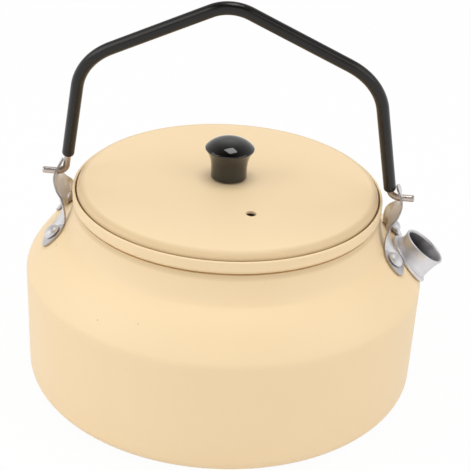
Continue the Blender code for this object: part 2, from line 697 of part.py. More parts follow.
def trimmed(points, start, end):
    """The part of a route between a length from each of its ends, with a point for each taper."""
    points = [np.array(p, float) for p in points]
    lengths = np.concatenate([[0], np.cumsum([np.linalg.norm(b - a) for a, b in zip(points, points[1:])])])
    stop = lengths[-1] - end

    def at(distance):
        k = int(np.searchsorted(lengths, distance)) - 1
        share = (distance - lengths[k]) / (lengths[k + 1] - lengths[k])
        return points[k] + (points[k + 1] - points[k]) * share

    first = start + SLEEVE_END_TAPER
    last = stop - SLEEVE_END_TAPER
    kept = [p for p, d in zip(points, lengths) if first + SLEEVE_END_TAPER < d < last - SLEEVE_END_TAPER]
    return [at(start), at(first)] + kept + [at(last), at(stop)]


def build_bail(steel, black, parent):
    bends = [BAIL_PIN_BEND, BAIL_CORNER_BEND, BAIL_PEAK_BEND, BAIL_CORNER_BEND, BAIL_PIN_BEND]
    route = rounded_route(bail_corners(), bends)
    swept_rod("handle_wire", in_bail_plane(route), WIRE_RADIUS, WIRE_BEVEL, steel, parent)

    legs = bail_corners()[1:-1]
    covered = rounded_route(legs, bends[1:-1])
    covered = trimmed(covered, SLEEVE_START_LEFT, SLEEVE_START_RIGHT)
    sleeve = swept_rod("handle_sleeve", in_bail_plane(covered), SLEEVE_RADIUS, SLEEVE_BEVEL, black, parent,
                       SLEEVE_END_SHARE)
    longer = [np.array(covered[0]) * 2 - covered[1]] + covered + [np.array(covered[-1]) * 2 - covered[-2]]
    core = swept_rod("sleeve_bore_cutter", in_bail_plane(longer), WIRE_RADIUS + SLEEVE_CLEARANCE, WIRE_BEVEL,
                     None, parent)
    as_cutter(core)
    cut(sleeve, core)


clear_scene()
parts = collection_named("camping_kettle")
cutters = collection_named("cutters")

cream = material("cream_coat", (0.89, 0.74, 0.49), 0.5, 0.0)
satin = material("satin_aluminium", (0.78, 0.77, 0.76), 0.32, 1.0)
nickel = material("nickelled_wire", (0.62, 0.57, 0.52), 0.22, 1.0)
rubber = material("black_sleeve", (0.02, 0.018, 0.016), 0.55, 0.0)
moulded = material("black_moulding", (0.012, 0.011, 0.01), 0.18, 0.0)
brass = material("brass", (0.75, 0.56, 0.25), 0.3, 1.0)
steel = material("bright_steel", (0.6, 0.6, 0.6), 0.3, 1.0)

lid_axis = add_axis("lid_axis", (0.0, 0.0, 0.0))
bail_axis = add_axis("bail_axis", (0.0, 0.0, EYE_HEIGHT))
build_pot(cream)
build_spout(satin)
build_ear("ear_left", -1, satin)
build_ear("ear_right", 1, satin)
build_rivets(satin)
build_lid(cream, lid_axis)
build_knob(moulded, brass, steel, lid_axis)
build_bail(nickel, rubber, bail_axis)
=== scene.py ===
import math

import bmesh
import bpy
import numpy as np
from mathutils import Matrix, Vector


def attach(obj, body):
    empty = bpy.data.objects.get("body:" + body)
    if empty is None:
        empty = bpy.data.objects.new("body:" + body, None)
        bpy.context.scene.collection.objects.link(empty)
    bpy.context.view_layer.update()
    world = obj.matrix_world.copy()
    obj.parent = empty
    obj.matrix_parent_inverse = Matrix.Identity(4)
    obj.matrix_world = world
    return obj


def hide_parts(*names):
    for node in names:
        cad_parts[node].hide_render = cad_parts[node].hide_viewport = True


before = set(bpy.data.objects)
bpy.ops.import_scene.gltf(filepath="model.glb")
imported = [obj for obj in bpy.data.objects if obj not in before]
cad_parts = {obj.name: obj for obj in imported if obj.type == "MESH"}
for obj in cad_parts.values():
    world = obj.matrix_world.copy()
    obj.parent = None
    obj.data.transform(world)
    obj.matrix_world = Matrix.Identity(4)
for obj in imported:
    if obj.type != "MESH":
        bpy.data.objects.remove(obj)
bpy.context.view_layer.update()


# Finishes

class Value:
    # one output of a node; + - and * on it add Math nodes, with plain numbers on either side

    def __init__(self, tree, socket):
        self.tree = tree
        self.socket = socket

    def sum(self, operation, first, second):
        made = self.tree.nodes.new("ShaderNodeMath")
        made.operation = operation
        for place, given in enumerate((first, second)):
            if isinstance(given, Value):
                self.tree.links.new(given.socket, made.inputs[place])
            else:
                made.inputs[place].default_value = given
        return Value(self.tree, made.outputs[0])

    def __add__(self, other):
        return self.sum("ADD", self, other)

    def __radd__(self, other):
        return self.sum("ADD", other, self)

    def __sub__(self, other):
        return self.sum("SUBTRACT", self, other)

    def __rsub__(self, other):
        return self.sum("SUBTRACT", other, self)

    def __mul__(self, other):
        return self.sum("MULTIPLY", self, other)

    def __rmul__(self, other):
        return self.sum("MULTIPLY", other, self)

    def above(self, level):
        return self.sum("GREATER_THAN", self, level)

    def below(self, level):
        return self.sum("LESS_THAN", self, level)

    def larger(self, other):
        return self.sum("MAXIMUM", self, other)


socketNames = {
    "colour": "Base Color",
    "roughness": "Roughness",
    "metallic": "Metallic",
    "coat": "Coat Weight",
    "coatRoughness": "Coat Roughness",
    "normal": "Normal",
    "specular": "Specular IOR Level",
}
noiseMiddle = 0.5                # the level that noise swings about


class Finish:
    # a material or the world's nodes, and the one way to add any other node to them

    def __init__(self, name, world=None):
        self.made = world or bpy.data.materials.new(name)
        self.made.use_nodes = True
        self.tree = self.made.node_tree
        self.shader = self.tree.nodes.get("Principled BSDF")

    def feed(self, socket, given):
        # a value is linked, a plain number or colour is set on the socket
        if isinstance(given, Value):
            self.tree.links.new(given.socket, socket)
        else:
            socket.default_value = given

    def node(self, kind, settings=None, inputs=None, output=0):
        # settings first, because they can change which sockets there are
        made = self.tree.nodes.new("ShaderNode" + kind)
        for key, given in (settings or {}).items():
            setattr(made, key, given)
        for key, given in (inputs or {}).items():
            self.feed(made.inputs[key], given)
        return Value(self.tree, made.outputs[output])

    def set(self, **sockets):
        for key, given in sockets.items():
            self.feed(self.shader.inputs[socketNames[key]], given)
        return self

    def place(self):
        return self.node("TexCoord", output="Object")

    def track(self):
        return self.node("UVMap", {"uv_map": "track"})

    def noise(self, where, scale=1.0, detail=2.0, roughness=0.5, stretch=None):
        # scale and stretch are in waves per metre, and on a track in waves per turn and per metre
        if stretch is not None:
            where = self.node("Mapping", inputs={"Vector": where, "Scale": stretch})
        return self.node("TexNoise", inputs={"Vector": where, "Scale": scale, "Detail": detail,
                                             "Roughness": roughness})

    def mix(self, share, first, second):
        # colours blended by a share, 0 gives the first
        made = self.tree.nodes.new("ShaderNodeMix")
        made.data_type = "RGBA"
        self.feed(made.inputs[0], share)
        self.feed(made.inputs[6], first)
        self.feed(made.inputs[7], second)
        return Value(self.tree, made.outputs[2])

    def bump(self, height, depth, strength, under=None):
        # depth in metres, laid over another bump where one is given
        inputs = {"Height": height, "Distance": depth, "Strength": strength}
        if under is not None:
            inputs["Normal"] = under
        return self.node("Bump", inputs=inputs)

    def split(self, where):
        made = self.tree.nodes.new("ShaderNodeSeparateXYZ")
        self.feed(made.inputs[0], where)
        return [Value(self.tree, made.outputs[k]) for k in range(3)]


creamLook = {
    "colour": (0.91, 0.702, 0.432, 1.0),
    "warmer": (0.895, 0.668, 0.392, 1.0),
    "toneSize": 14.0,            # broad uneven tone, waves per metre
    "toneLevel": 0.38,
    "toneGain": 1.1,
    "roughness": 0.46,
    "specular": 0.42,
    "peelSize": 260.0,           # orange peel
    "peelDetail": 1.5,
    "peelRough": 0.12,
    "peelDepth": 0.00006,
    "peelStrength": 0.35,
    "grainSize": 1900.0,         # grain of the powder
    "grainRough": 0.10,
    "grainDepth": 0.00002,
    "grainStrength": 0.4,
    "speck": (0.22, 0.13, 0.06, 1.0),
    "speckTint": 0.6,
    "speckCell": 88.0,           # cells per metre, at most one speck in each
    "speckShare": 0.5,           # share of the cells that have one
    "speckRadius": 0.00024,
    "speckSunk": 1.5,            # depth, in depths of the grain
    "raggedSize": 5200.0,
    "raggedLeast": 0.35,         # least share of the radius, and what its ragged edge adds to it
    "raggedSwing": 1.1,
    "gapShade": (0.16, 0.115, 0.055, 1.0),
    "gapShadeStrength": 0.35,
    "gapInside": 0.0558,         # the ring between lid and rim, darkened there as painted shade
    "gapOutside": 0.05675,
    "gapTop": 0.07595,
    "gapBottom": 0.0718,
    "edge": (0.745, 0.553, 0.318, 1.0),
    "edgeShadeStart": 0.0530,         # the lid's rolled edge, darkened there as painted shade
    "edgeShadeFull": 0.0549,
    "edgeShadeBottom": 0.0745,
    "creaseShade": (0.62, 0.44, 0.22, 1.0),
    "creaseShadeStrength": 0.55,
    "creaseHeight": 0.0706,      # painted shade under the collar, fading out above and below
    "creaseFade": 0.0021,
    "creaseInside": 0.0555,
}


def creamCoat():
    # matt powder coat: broad uneven tone, orange peel, fine grain, and a few sunk dark specks; then painted
    # shade on the lid's edge, on the crease, where it fades as 1 - (rise / fade) ** 2, and in the gap, each
    # told by radius and height
    look = creamLook
    finish = Finish("creamCoat")
    at = finish.place()
    tone = finish.noise(at, look["toneSize"])
    peel = finish.noise(at, look["peelSize"], look["peelDetail"])
    grain = finish.noise(at, look["grainSize"])
    cell = {"Vector": at, "Scale": look["speckCell"]}
    nearest = finish.node("TexVoronoi", inputs=cell, output="Distance")
    chance = finish.split(finish.node("TexVoronoi", inputs=cell, output="Color"))[0]
    ragged = look["raggedLeast"] + finish.noise(at, look["raggedSize"]) * look["raggedSwing"]
    radius = look["speckRadius"] * look["speckCell"]
    speck = nearest.below(radius * ragged) * chance.above(1 - look["speckShare"])
    colour = finish.mix((tone - look["toneLevel"]) * look["toneGain"], look["colour"], look["warmer"])
    colour = finish.mix(speck * look["speckTint"], colour, look["speck"])
    x, y, z = finish.split(at)
    reach = x * x + y * y
    inRim = reach.below(look["gapOutside"] ** 2)
    # painted shade on the lid's rolled edge, growing outward
    start = look["edgeShadeStart"] ** 2
    full = look["edgeShadeFull"] ** 2
    edge = (reach - start) * (1 / (full - start)) * inRim
    colour = finish.mix(edge * z.above(look["edgeShadeBottom"]), colour, look["edge"])
    # painted shade under the collar
    rise = (z - look["creaseHeight"]) * (1 / look["creaseFade"])
    creaseShade = (1 - rise * rise) * reach.above(look["creaseInside"] ** 2)
    colour = finish.mix(creaseShade * look["creaseShadeStrength"], colour, look["creaseShade"])
    # painted shade in the gap between lid and rim
    gapShade = reach.above(look["gapInside"] ** 2) * inRim
    gapShade = gapShade * z.below(look["gapTop"]) * z.above(look["gapBottom"])
    colour = finish.mix(gapShade * look["gapShadeStrength"], colour, look["gapShade"])
    rough = look["roughness"] + (peel - noiseMiddle) * look["peelRough"]
    rough = rough + (grain - noiseMiddle) * look["grainRough"]
    surface = finish.bump(peel, look["peelDepth"], look["peelStrength"])
    sunk = grain + speck * -look["speckSunk"]
    surface = finish.bump(sunk, look["grainDepth"], look["grainStrength"], surface)
    return finish.set(colour=colour, roughness=rough, normal=surface, specular=look["specular"])


satinLook = {
    "broadSize": 130.0,          # cloudy tone, waves per metre
    "broadDetail": 3.0,
    "broadLevel": 0.42,
    "broadGain": 1.6,
    "broadRough": 0.22,
    "lineDetail": 3.0,           # fine lines along the track, each metal with its own stretch
    "lineRoughness": 0.6,
    "lineGain": 0.9,
    "lineRough": 0.25,
    "lineDepth": 0.00005,
    "lineStrength": 0.45,
    "pitSize": 2600.0,
    "pitDepth": 0.00001,
    "pitStrength": 0.35,
}
satinMetals = {
    "turned": {
        "colour": (0.77, 0.755, 0.77, 1.0),
        "duller": (0.61, 0.595, 0.61, 1.0),
        "roughness": 0.47,
        "stretch": (1.5, 1500.0, 1.0),
    },
    "sheet": {
        "colour": (0.76, 0.745, 0.745, 1.0),
        "duller": (0.58, 0.56, 0.56, 1.0),
        "roughness": 0.36,
        "stretch": (700.0, 90.0, 1.0),
    },
    # the sheet's cut edge: rougher than the plate, and its darker brown colour is painted shade
    "cutEdgeShade": {
        "colour": (0.52, 0.475, 0.44, 1.0),
        "duller": (0.30, 0.25, 0.215, 1.0),
        "roughness": 0.50,
        "stretch": (900.0, 900.0, 1.0),
    },
    "head": {
        "colour": (0.80, 0.79, 0.80, 1.0),
        "duller": (0.66, 0.64, 0.64, 1.0),
        "roughness": 0.52,
        "stretch": (2.0, 1500.0, 1.0),
    },
    # the bore: its dark colour is painted shade, and a lighter patch on it is a painted highlight
    "bore": {
        "colour": (0.20, 0.19, 0.197, 1.0),
        "duller": (0.10, 0.094, 0.097, 1.0),
        "roughness": 0.46,
        "stretch": (1.5, 1500.0, 1.0),
        "boreHighlight": (0.62, 0.61, 0.62, 1.0),
        "boreHighlightAt": 0.79,        # share of a turn at which the painted highlight is brightest
        "boreHighlightFade": 24.0,
    },
}


def satinAluminium(name, metal):
    # soft white metal with fine lines, drawn out by the stretch along its own track
    look = satinLook
    finish = Finish(name)
    at = finish.place()
    track = finish.track()
    lines = finish.noise(track, 1.0, look["lineDetail"], look["lineRoughness"], metal["stretch"])
    broad = finish.noise(at, look["broadSize"], look["broadDetail"])
    pits = finish.noise(at, look["pitSize"])
    share = (broad - look["broadLevel"]) * look["broadGain"] + (lines - noiseMiddle) * look["lineGain"]
    colour = finish.mix(share, metal["colour"], metal["duller"])
    if "boreHighlight" in metal:
        # painted highlight, brighter about one side of the bore: 1 - fade * (share of a turn from there) ** 2
        turn = finish.split(track)[0] - metal["boreHighlightAt"]
        highlightShare = (1 - turn * turn * metal["boreHighlightFade"]).larger(0.0)
        colour = finish.mix(highlightShare, colour, metal["boreHighlight"])
    rough = metal["roughness"] + (broad - noiseMiddle) * look["broadRough"]
    rough = rough + (lines - noiseMiddle) * look["lineRough"]
    surface = finish.bump(lines, look["lineDepth"], look["lineStrength"])
    surface = finish.bump(pits, look["pitDepth"], look["pitStrength"], surface)
    return finish.set(colour=colour, roughness=rough, metallic=1.0, normal=surface)


nickelLook = {
    "colour": (0.63, 0.555, 0.51, 1.0),
    "stain": (0.43, 0.35, 0.29, 1.0),
    "roughness": 0.36,
    "cloudSize": 210.0,
    "cloudLevel": 0.40,
    "cloudGain": 1.7,
    "lineStretch": (70.0, 60.0, 1.0),
    "lineRough": 0.16,
    "lineDepth": 0.00002,
    "lineStrength": 0.4,
}


def nickelledWire():
    # bright drawn wire: long fine die lines and a slightly warm cloudiness
    look = nickelLook
    finish = Finish("nickelledWire")
    lines = finish.noise(finish.track(), stretch=look["lineStretch"])
    cloud = finish.noise(finish.place(), look["cloudSize"])
    colour = finish.mix((cloud - look["cloudLevel"]) * look["cloudGain"], look["colour"], look["stain"])
    rough = look["roughness"] + (lines - noiseMiddle) * look["lineRough"]
    surface = finish.bump(lines, look["lineDepth"], look["lineStrength"])
    return finish.set(colour=colour, roughness=rough, metallic=1.0, normal=surface)


sleeveLook = {
    "colour": (0.0085, 0.0072, 0.0065, 1.0),
    "bloom": (0.015, 0.0125, 0.011, 1.0),
    "roughness": 0.21,
    "specular": 0.36,
    "bloomSize": 95.0,
    "bloomDetail": 3.0,
    "bloomLevel": 0.38,
    "bloomGain": 1.5,
    "bloomRough": 0.18,
    "skinSize": 1500.0,
    "skinDetail": 3.0,
    "skinRough": 0.10,
    "skinDepth": 0.000015,
    "skinStrength": 0.25,
    "drawStretch": (16.0, 26.0, 1.0),
    "drawDepth": 0.00004,
    "drawStrength": 0.22,
}


def blackSleeve():
    # soft extruded tube: faint bloom, a fine skin and shallow draw marks along it
    look = sleeveLook
    finish = Finish("blackSleeve")
    at = finish.place()
    skin = finish.noise(at, look["skinSize"], look["skinDetail"])
    bloom = finish.noise(at, look["bloomSize"], look["bloomDetail"])
    draw = finish.noise(finish.track(), stretch=look["drawStretch"])
    colour = finish.mix((bloom - look["bloomLevel"]) * look["bloomGain"], look["colour"], look["bloom"])
    rough = look["roughness"] + (bloom - noiseMiddle) * look["bloomRough"]
    rough = rough + (skin - noiseMiddle) * look["skinRough"]
    surface = finish.bump(draw, look["drawDepth"], look["drawStrength"])
    surface = finish.bump(skin, look["skinDepth"], look["skinStrength"], surface)
    return finish.set(colour=colour, roughness=rough, normal=surface, specular=look["specular"])


mouldedLook = {
    "colour": (0.0065, 0.0058, 0.0052, 1.0),
    "haze": (0.013, 0.0095, 0.007, 1.0),
    "roughness": 0.08,
    "coat": 0.35,
    "coatRoughness": 0.06,
    "hazeSize": 160.0,
    "hazeDetail": 3.0,
    "hazeLevel": 0.45,
    "hazeGain": 1.3,
    "hazeRough": 0.08,
    "rubStretch": (3200.0, 500.0, 900.0),
    "rubRoughness": 0.6,
    "rubRough": 0.06,
    "rubDepth": 0.000005,
    "rubStrength": 0.3,
}


def blackMoulding():
    # polished hard moulding with a little haze and hairline rub marks
    look = mouldedLook
    finish = Finish("blackMoulding")
    at = finish.place()
    haze = finish.noise(at, look["hazeSize"], look["hazeDetail"])
    rubs = finish.noise(at, roughness=look["rubRoughness"], stretch=look["rubStretch"])
    colour = finish.mix((haze - look["hazeLevel"]) * look["hazeGain"], look["colour"], look["haze"])
    rough = look["roughness"] + (haze - noiseMiddle) * look["hazeRough"]
    rough = rough + (rubs - noiseMiddle) * look["rubRough"]
    surface = finish.bump(rubs, look["rubDepth"], look["rubStrength"])
    return finish.set(colour=colour, roughness=rough, normal=surface, coat=look["coat"],
                      coatRoughness=look["coatRoughness"])


fastenerLook = {
    "cloudSize": 320.0,
    "cloudLevel": 0.4,
    "cloudGain": 1.6,
    "ringStretch": (2.0, 5200.0, 1.0),
    "ringRough": 0.2,
    "ringDepth": 0.00002,
    "ringStrength": 0.5,
}
fastenerMetals = {
    "brass": {
        "colour": (0.74, 0.55, 0.24, 1.0),
        "duller": (0.50, 0.35, 0.14, 1.0),
        "roughness": 0.28,
    },
    "steel": {
        "colour": (0.60, 0.60, 0.60, 1.0),
        "duller": (0.42, 0.41, 0.40, 1.0),
        "roughness": 0.27,
    },
}


def turnedMetal(name, metal):
    # lathe rings on small fasteners
    look = fastenerLook
    finish = Finish(name)
    rings = finish.noise(finish.track(), stretch=look["ringStretch"])
    cloud = finish.noise(finish.place(), look["cloudSize"])
    colour = finish.mix((cloud - look["cloudLevel"]) * look["cloudGain"], metal["colour"], metal["duller"])
    rough = metal["roughness"] + (rings - noiseMiddle) * look["ringRough"]
    surface = finish.bump(rings, look["ringDepth"], look["ringStrength"])
    return finish.set(colour=colour, roughness=rough, metallic=1.0, normal=surface)


finishes = {
    "cream": creamCoat(),
    "spoutMetal": satinAluminium("satinAluminiumTurned", satinMetals["turned"]),
    "sheetMetal": satinAluminium("satinAluminiumSheet", satinMetals["sheet"]),
    # the cut edge's darker colour is painted shade
    "shadedCutEdge": satinAluminium("shadedCutAluminium", satinMetals["cutEdgeShade"]),
    "rivetHead": satinAluminium("headedAluminium", satinMetals["head"]),
    # the bore's finish is painted shade with a painted highlight
    "spoutBore": satinAluminium("boreShadeAluminium", satinMetals["bore"]),
    "wire": nickelledWire(),
    "sleeve": blackSleeve(),
    "moulding": blackMoulding(),
    "brass": turnedMetal("turnedBrass", fastenerMetals["brass"]),
    "steel": turnedMetal("brightSteel", fastenerMetals["steel"]),
}
print("finishes made:", len(finishes))


# Mesh helpers

meshing = {
    "merge": 0.0000015,          # points closer than this become one
    "sliver": 0.0000005,
    "sharp": 40,                 # edges bent by more degrees than this stay sharp
    "arcStep": math.radians(7),  # largest turn between two points of an arc
}


def gridMesh(name, grid, rowsClosed=False, ringsClosed=True):
    # quads between neighbouring points of a grid (row, column); on the track map u is the share of the way
    # round a ring, and v the length from the first row
    rows, columns = grid.shape[:2]
    row, column = np.meshgrid(np.arange(rows if rowsClosed else rows - 1),
                              np.arange(columns if ringsClosed else columns - 1), indexing="ij")
    nextRow = (row + 1) % rows
    nextColumn = (column + 1) % columns
    faces = np.stack([row * columns + column, row * columns + nextColumn,
                      nextRow * columns + nextColumn, nextRow * columns + column], axis=-1).reshape(-1, 4)
    steps = np.linalg.norm(np.diff(grid, axis=0), axis=2).max(axis=1)
    along = np.concatenate([[0.0], np.cumsum(steps), [np.sum(steps) + steps[-1]]])
    corners = ((row, column), (row, column + 1), (row + 1, column + 1), (row + 1, column))
    uv = np.stack([np.stack([c / columns, along[r]], axis=-1) for r, c in corners], axis=-2)
    mesh = bpy.data.meshes.new(name)
    mesh.vertices.add(rows * columns)
    mesh.vertices.foreach_set("co", grid.astype(np.float32).ravel())
    mesh.loops.add(faces.size)
    mesh.loops.foreach_set("vertex_index", faces.astype(np.int32).ravel())
    mesh.polygons.add(len(faces))
    mesh.polygons.foreach_set("loop_start", np.arange(0, faces.size, 4, dtype=np.int32))
    mesh.update(calc_edges=True)
    mesh.uv_layers.new(name="track").data.foreach_set("uv", uv.astype(np.float32).ravel())
    mesh.validate()
    return mesh


def smoothed(mesh, sharpAngle):
    # smooth but for real edges
    mesh.shade_smooth()
    mesh.set_sharp_from_angle(angle=math.radians(sharpAngle))
    return mesh


def closed(mesh, sharpAngle=meshing["sharp"], filled=False):
    # poles and seams merged, open ends filled where asked, faces turned outward
    shape = bmesh.new()
    shape.from_mesh(mesh)
    bmesh.ops.remove_doubles(shape, verts=shape.verts, dist=meshing["merge"])
    bmesh.ops.dissolve_degenerate(shape, edges=shape.edges, dist=meshing["sliver"])
    if filled:
        bmesh.ops.holes_fill(shape, edges=shape.edges, sides=0)
    bmesh.ops.recalc_face_normals(shape, faces=shape.faces)
    shape.to_mesh(mesh)
    shape.free()
    return smoothed(mesh, sharpAngle)


def newObject(name, data):
    made = bpy.data.objects.new(name, data)
    bpy.context.scene.collection.objects.link(made)
    return made


def holed(thing, cutters):
    # an exact cut for each plug
    for cutter in cutters:
        hole = thing.modifiers.new("hole", "BOOLEAN")
        hole.operation = "DIFFERENCE"
        hole.object = cutter
        hole.solver = "EXACT"


def baked(thing, cutters, sharpAngle):
    # the modifiers' result becomes the mesh, and the plugs go
    bpy.context.view_layer.update()
    result = thing.evaluated_get(bpy.context.evaluated_depsgraph_get())
    shape = bpy.data.meshes.new_from_object(result)
    thing.modifiers.clear()
    thing.data = smoothed(shape, sharpAngle)
    for cutter in cutters:
        bpy.data.objects.remove(cutter, do_unlink=True)


def dressed(mesh, *names):
    # the first finish goes on every face that isn't given another by its index
    for name in names:
        mesh.materials.append(finishes[name].made)
    return mesh


def riding(thing, body, node):
    # the finished piece stands for its node and rides on its body
    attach(thing, body)
    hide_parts(node)


def arcLine(centre, radius, start, end, spacing):
    # points on a circle about the centre, (radius, height), a spacing apart at most
    sweep = abs(end - start)
    count = max(3, math.ceil(sweep * radius / spacing), math.ceil(sweep / meshing["arcStep"]))
    turn = np.linspace(start, end, count + 1)
    return np.column_stack([centre[0] + radius * np.cos(turn), centre[1] + radius * np.sin(turn)])


def turned(name, section, sides, rowsClosed=False, place=Matrix.Identity(4)):
    # a section of (radius, height) points carried round Z: x = r cos a, y = r sin a
    turn = np.linspace(0, 2 * math.pi, sides, endpoint=False)[None, :]
    radius, height = section[:, :1], section[:, 1:]
    grid = np.stack([radius * np.cos(turn), radius * np.sin(turn), height + 0 * turn], axis=-1)
    mesh = gridMesh(name, grid, rowsClosed)
    mesh.transform(place)
    return closed(mesh)


def cylinder(place, direction, radius, length, sides=48):
    # a closed plug centred on a place, for holes
    section = np.array([(0, -length / 2), (radius, -length / 2), (radius, length / 2), (0, length / 2)])
    turn = Vector(direction).to_track_quat("Z", "Y").to_matrix().to_4x4()
    return newObject("plug", turned("plug", section, sides, place=Matrix.Translation(place) @ turn))


# Pot

pot = {
    "sides": 224,
    "radius": 0.075,
    "footRadius": 0.0746,
    "wall": 0.001,
    "baseCorner": 0.006,
    "shoulderHeight": 0.0437,
    "shoulderCorner": 0.0058,
    "cornerAngle": math.radians(32),
    "crown": 0.045,
    "neckRadius": 0.0557,
    "neckFillet": 0.006,
    "rimTop": 0.0762,
    "rimInner": 0.0566,
    "ledge": 0.0723,
    "ledgeBend": 0.0003,
    "slotRadius": 0.0558,        # the dark crease under the collar
    "slotHeight": 0.0006,
    "neckTop": 0.0567,
    "neckFoot": 0.0612,          # where the neck's outside meets the crown
    "neckBend": 0.0025,
    "neckPoints": 25,
    "floorPoints": 14,
    "spacing": 0.0011,
    "edgeSpacing": 0.0001,
    "sharp": 35,
}
seating = {
    "start": 0.06,               # height from which a point is moved onto the shoulder
    "travel": 0.03,
    "halvings": 40,
}
seatGap = 0.0003
holeClearance = 0.0003
quarter = math.pi / 2


def crownCentre():
    # the crown's arc leaves the corner's arc without a kink:
    # centre = corner's centre - (crown's radius - corner's radius) along the corner's angle
    drop = pot["crown"] - pot["shoulderCorner"]
    return np.array([pot["radius"] - pot["shoulderCorner"] - drop * math.cos(pot["cornerAngle"]),
                     pot["shoulderHeight"] - drop * math.sin(pot["cornerAngle"])])


def neckFillet():
    # centre of the hollow between crown and neck, and the angle at which it touches the crown:
    # cos(angle) = (neck + fillet - crown's centre) / (crown + fillet)
    crown = crownCentre()
    reach = pot["neckRadius"] + pot["neckFillet"]
    span = pot["crown"] + pot["neckFillet"]
    turn = math.acos((reach - crown[0]) / span)
    return np.array([reach, crown[1] + span * math.sin(turn)]), turn


def neckOutside(level):
    # crease under the collar, then a quadratic curve that leaves it steeply and meets the crown
    # without a kink: start * (1 - t) ** 2 + middle * 2 t (1 - t) + touch * t ** 2
    crown = crownCentre()
    turn = math.acos((pot["neckFoot"] - crown[0]) / pot["crown"])
    touch = crown + pot["crown"] * np.array([math.cos(turn), math.sin(turn)])
    uphill = np.array([-math.sin(turn), math.cos(turn)])
    start = np.array([pot["neckTop"], level - pot["slotHeight"]])
    middle = touch + uphill * pot["neckBend"]
    t = np.linspace(0, 1, pot["neckPoints"])[:, None]
    curve = start * (1 - t) ** 2 + middle * 2 * t * (1 - t) + touch * t ** 2
    slot = [(pot["slotRadius"], level), (pot["slotRadius"], level - pot["slotHeight"])]
    return np.vstack([slot, curve]), turn


def potSection():
    # one sheet: each bend is drawn twice, at its own radius and one wall further from or nearer its centre;
    # the neck is drawn apart, because outside it leans where the inside is upright
    wall, bend, spacing = pot["wall"], pot["ledgeBend"], pot["spacing"]
    rimOuter = pot["rimInner"] + wall
    ledgeUnder = pot["ledge"] - wall
    fillet, turn = neckFillet()
    neck, meeting = neckOutside(ledgeUnder)
    ledgeCorner = (rimOuter - bend - wall, ledgeUnder + bend + wall)
    neckCorner = (pot["neckRadius"] + bend, ledgeUnder - bend)
    corner = (pot["radius"] - pot["shoulderCorner"], pot["shoulderHeight"])
    foot = (pot["footRadius"] - pot["baseCorner"], pot["baseCorner"])
    ledge = (ledgeCorner, bend + wall, -wall, 0.0, -quarter)      # centre, radius, growth inside, start, end
    neckInside = [(neckCorner, bend, wall, quarter, math.pi),
                  (fillet, pot["neckFillet"], wall, math.pi, math.pi + turn),
                  (crownCentre(), pot["crown"], -wall, turn, pot["cornerAngle"])]
    crownOutside = (crownCentre(), pot["crown"], -wall, meeting, pot["cornerAngle"])
    lower = [(corner, pot["shoulderCorner"], -wall, pot["cornerAngle"], 0.0),
             (foot, pot["baseCorner"], -wall, 0.0, -quarter)]
    inner = [arcLine(c, r + grow, a, b, spacing) for c, r, grow, a, b in [ledge] + neckInside + lower]
    outer = [arcLine(c, r, a, b, spacing) for c, r, grow, a, b in [ledge, crownOutside] + lower]
    outer.insert(1, neck)
    rimMiddle = (rimOuter - wall / 2, pot["rimTop"] - wall / 2)
    rimEdge = arcLine(rimMiddle, wall / 2, math.pi, 0.0, pot["edgeSpacing"])
    floor = np.linspace(1, 0, pot["floorPoints"])[:, None]
    outerFloor = np.column_stack([outer[-1][-1, 0] * floor, 0 * floor])[1:]
    innerFloor = np.column_stack([inner[-1][-1, 0] * floor, wall + 0 * floor])[1:]
    outerSide = np.concatenate([rimEdge] + outer + [outerFloor])
    innerSide = np.concatenate(inner + [innerFloor])
    return np.concatenate([outerSide[::-1], innerSide])


def shoulderOutside(points):
    # how far points lie outside the shoulder: distance to the crown's or the corner's circle
    reach, height = np.hypot(points[..., 0], points[..., 1]), points[..., 2]
    crown = crownCentre()
    corner = np.array([pot["radius"] - pot["shoulderCorner"], pot["shoulderHeight"]])
    onCrown = np.hypot(reach - crown[0], height - crown[1]) - pot["crown"]
    onCorner = np.hypot(reach - corner[0], height - corner[1]) - pot["shoulderCorner"]
    turn = np.arctan2(height - corner[1], reach - corner[0])
    found = np.where(turn > pot["cornerAngle"], onCrown, onCorner)
    return np.where(height < pot["shoulderHeight"], reach - pot["radius"], found)


def seated(points, distance):
    # points slid straight down or up until each is a distance outside the shoulder, by halving
    low = np.full(points.shape[:-1], -seating["travel"])
    high = np.full(points.shape[:-1], seating["travel"])
    up = np.array([0.0, 0.0, 1.0])
    for _ in range(seating["halvings"]):
        middle = (low + high) / 2
        outside = shoulderOutside(points + middle[..., None] * up) > distance
        high, low = np.where(outside, middle, high), np.where(outside, low, middle)
    return points + ((low + high) / 2)[..., None] * up


def shoulderAlong(climb):
    # reach, height and tilt of the outer surface at a length up the shoulder from the top of the wall:
    # tilt = length on the corner / its radius + length on the crown / its radius
    cornerLength = pot["shoulderCorner"] * pot["cornerAngle"]
    past = np.maximum(climb - cornerLength, 0)
    tilt = np.clip(climb, 0, cornerLength) / pot["shoulderCorner"] + past / pot["crown"]
    crown = crownCentre()
    radius = np.where(past > 0, pot["crown"], pot["shoulderCorner"])
    middle = np.where(past > 0, crown[0], pot["radius"] - pot["shoulderCorner"])
    level = np.where(past > 0, crown[1], pot["shoulderHeight"])
    return middle + radius * np.cos(tilt), level + radius * np.sin(tilt) + np.minimum(climb, 0), tilt


# Spout

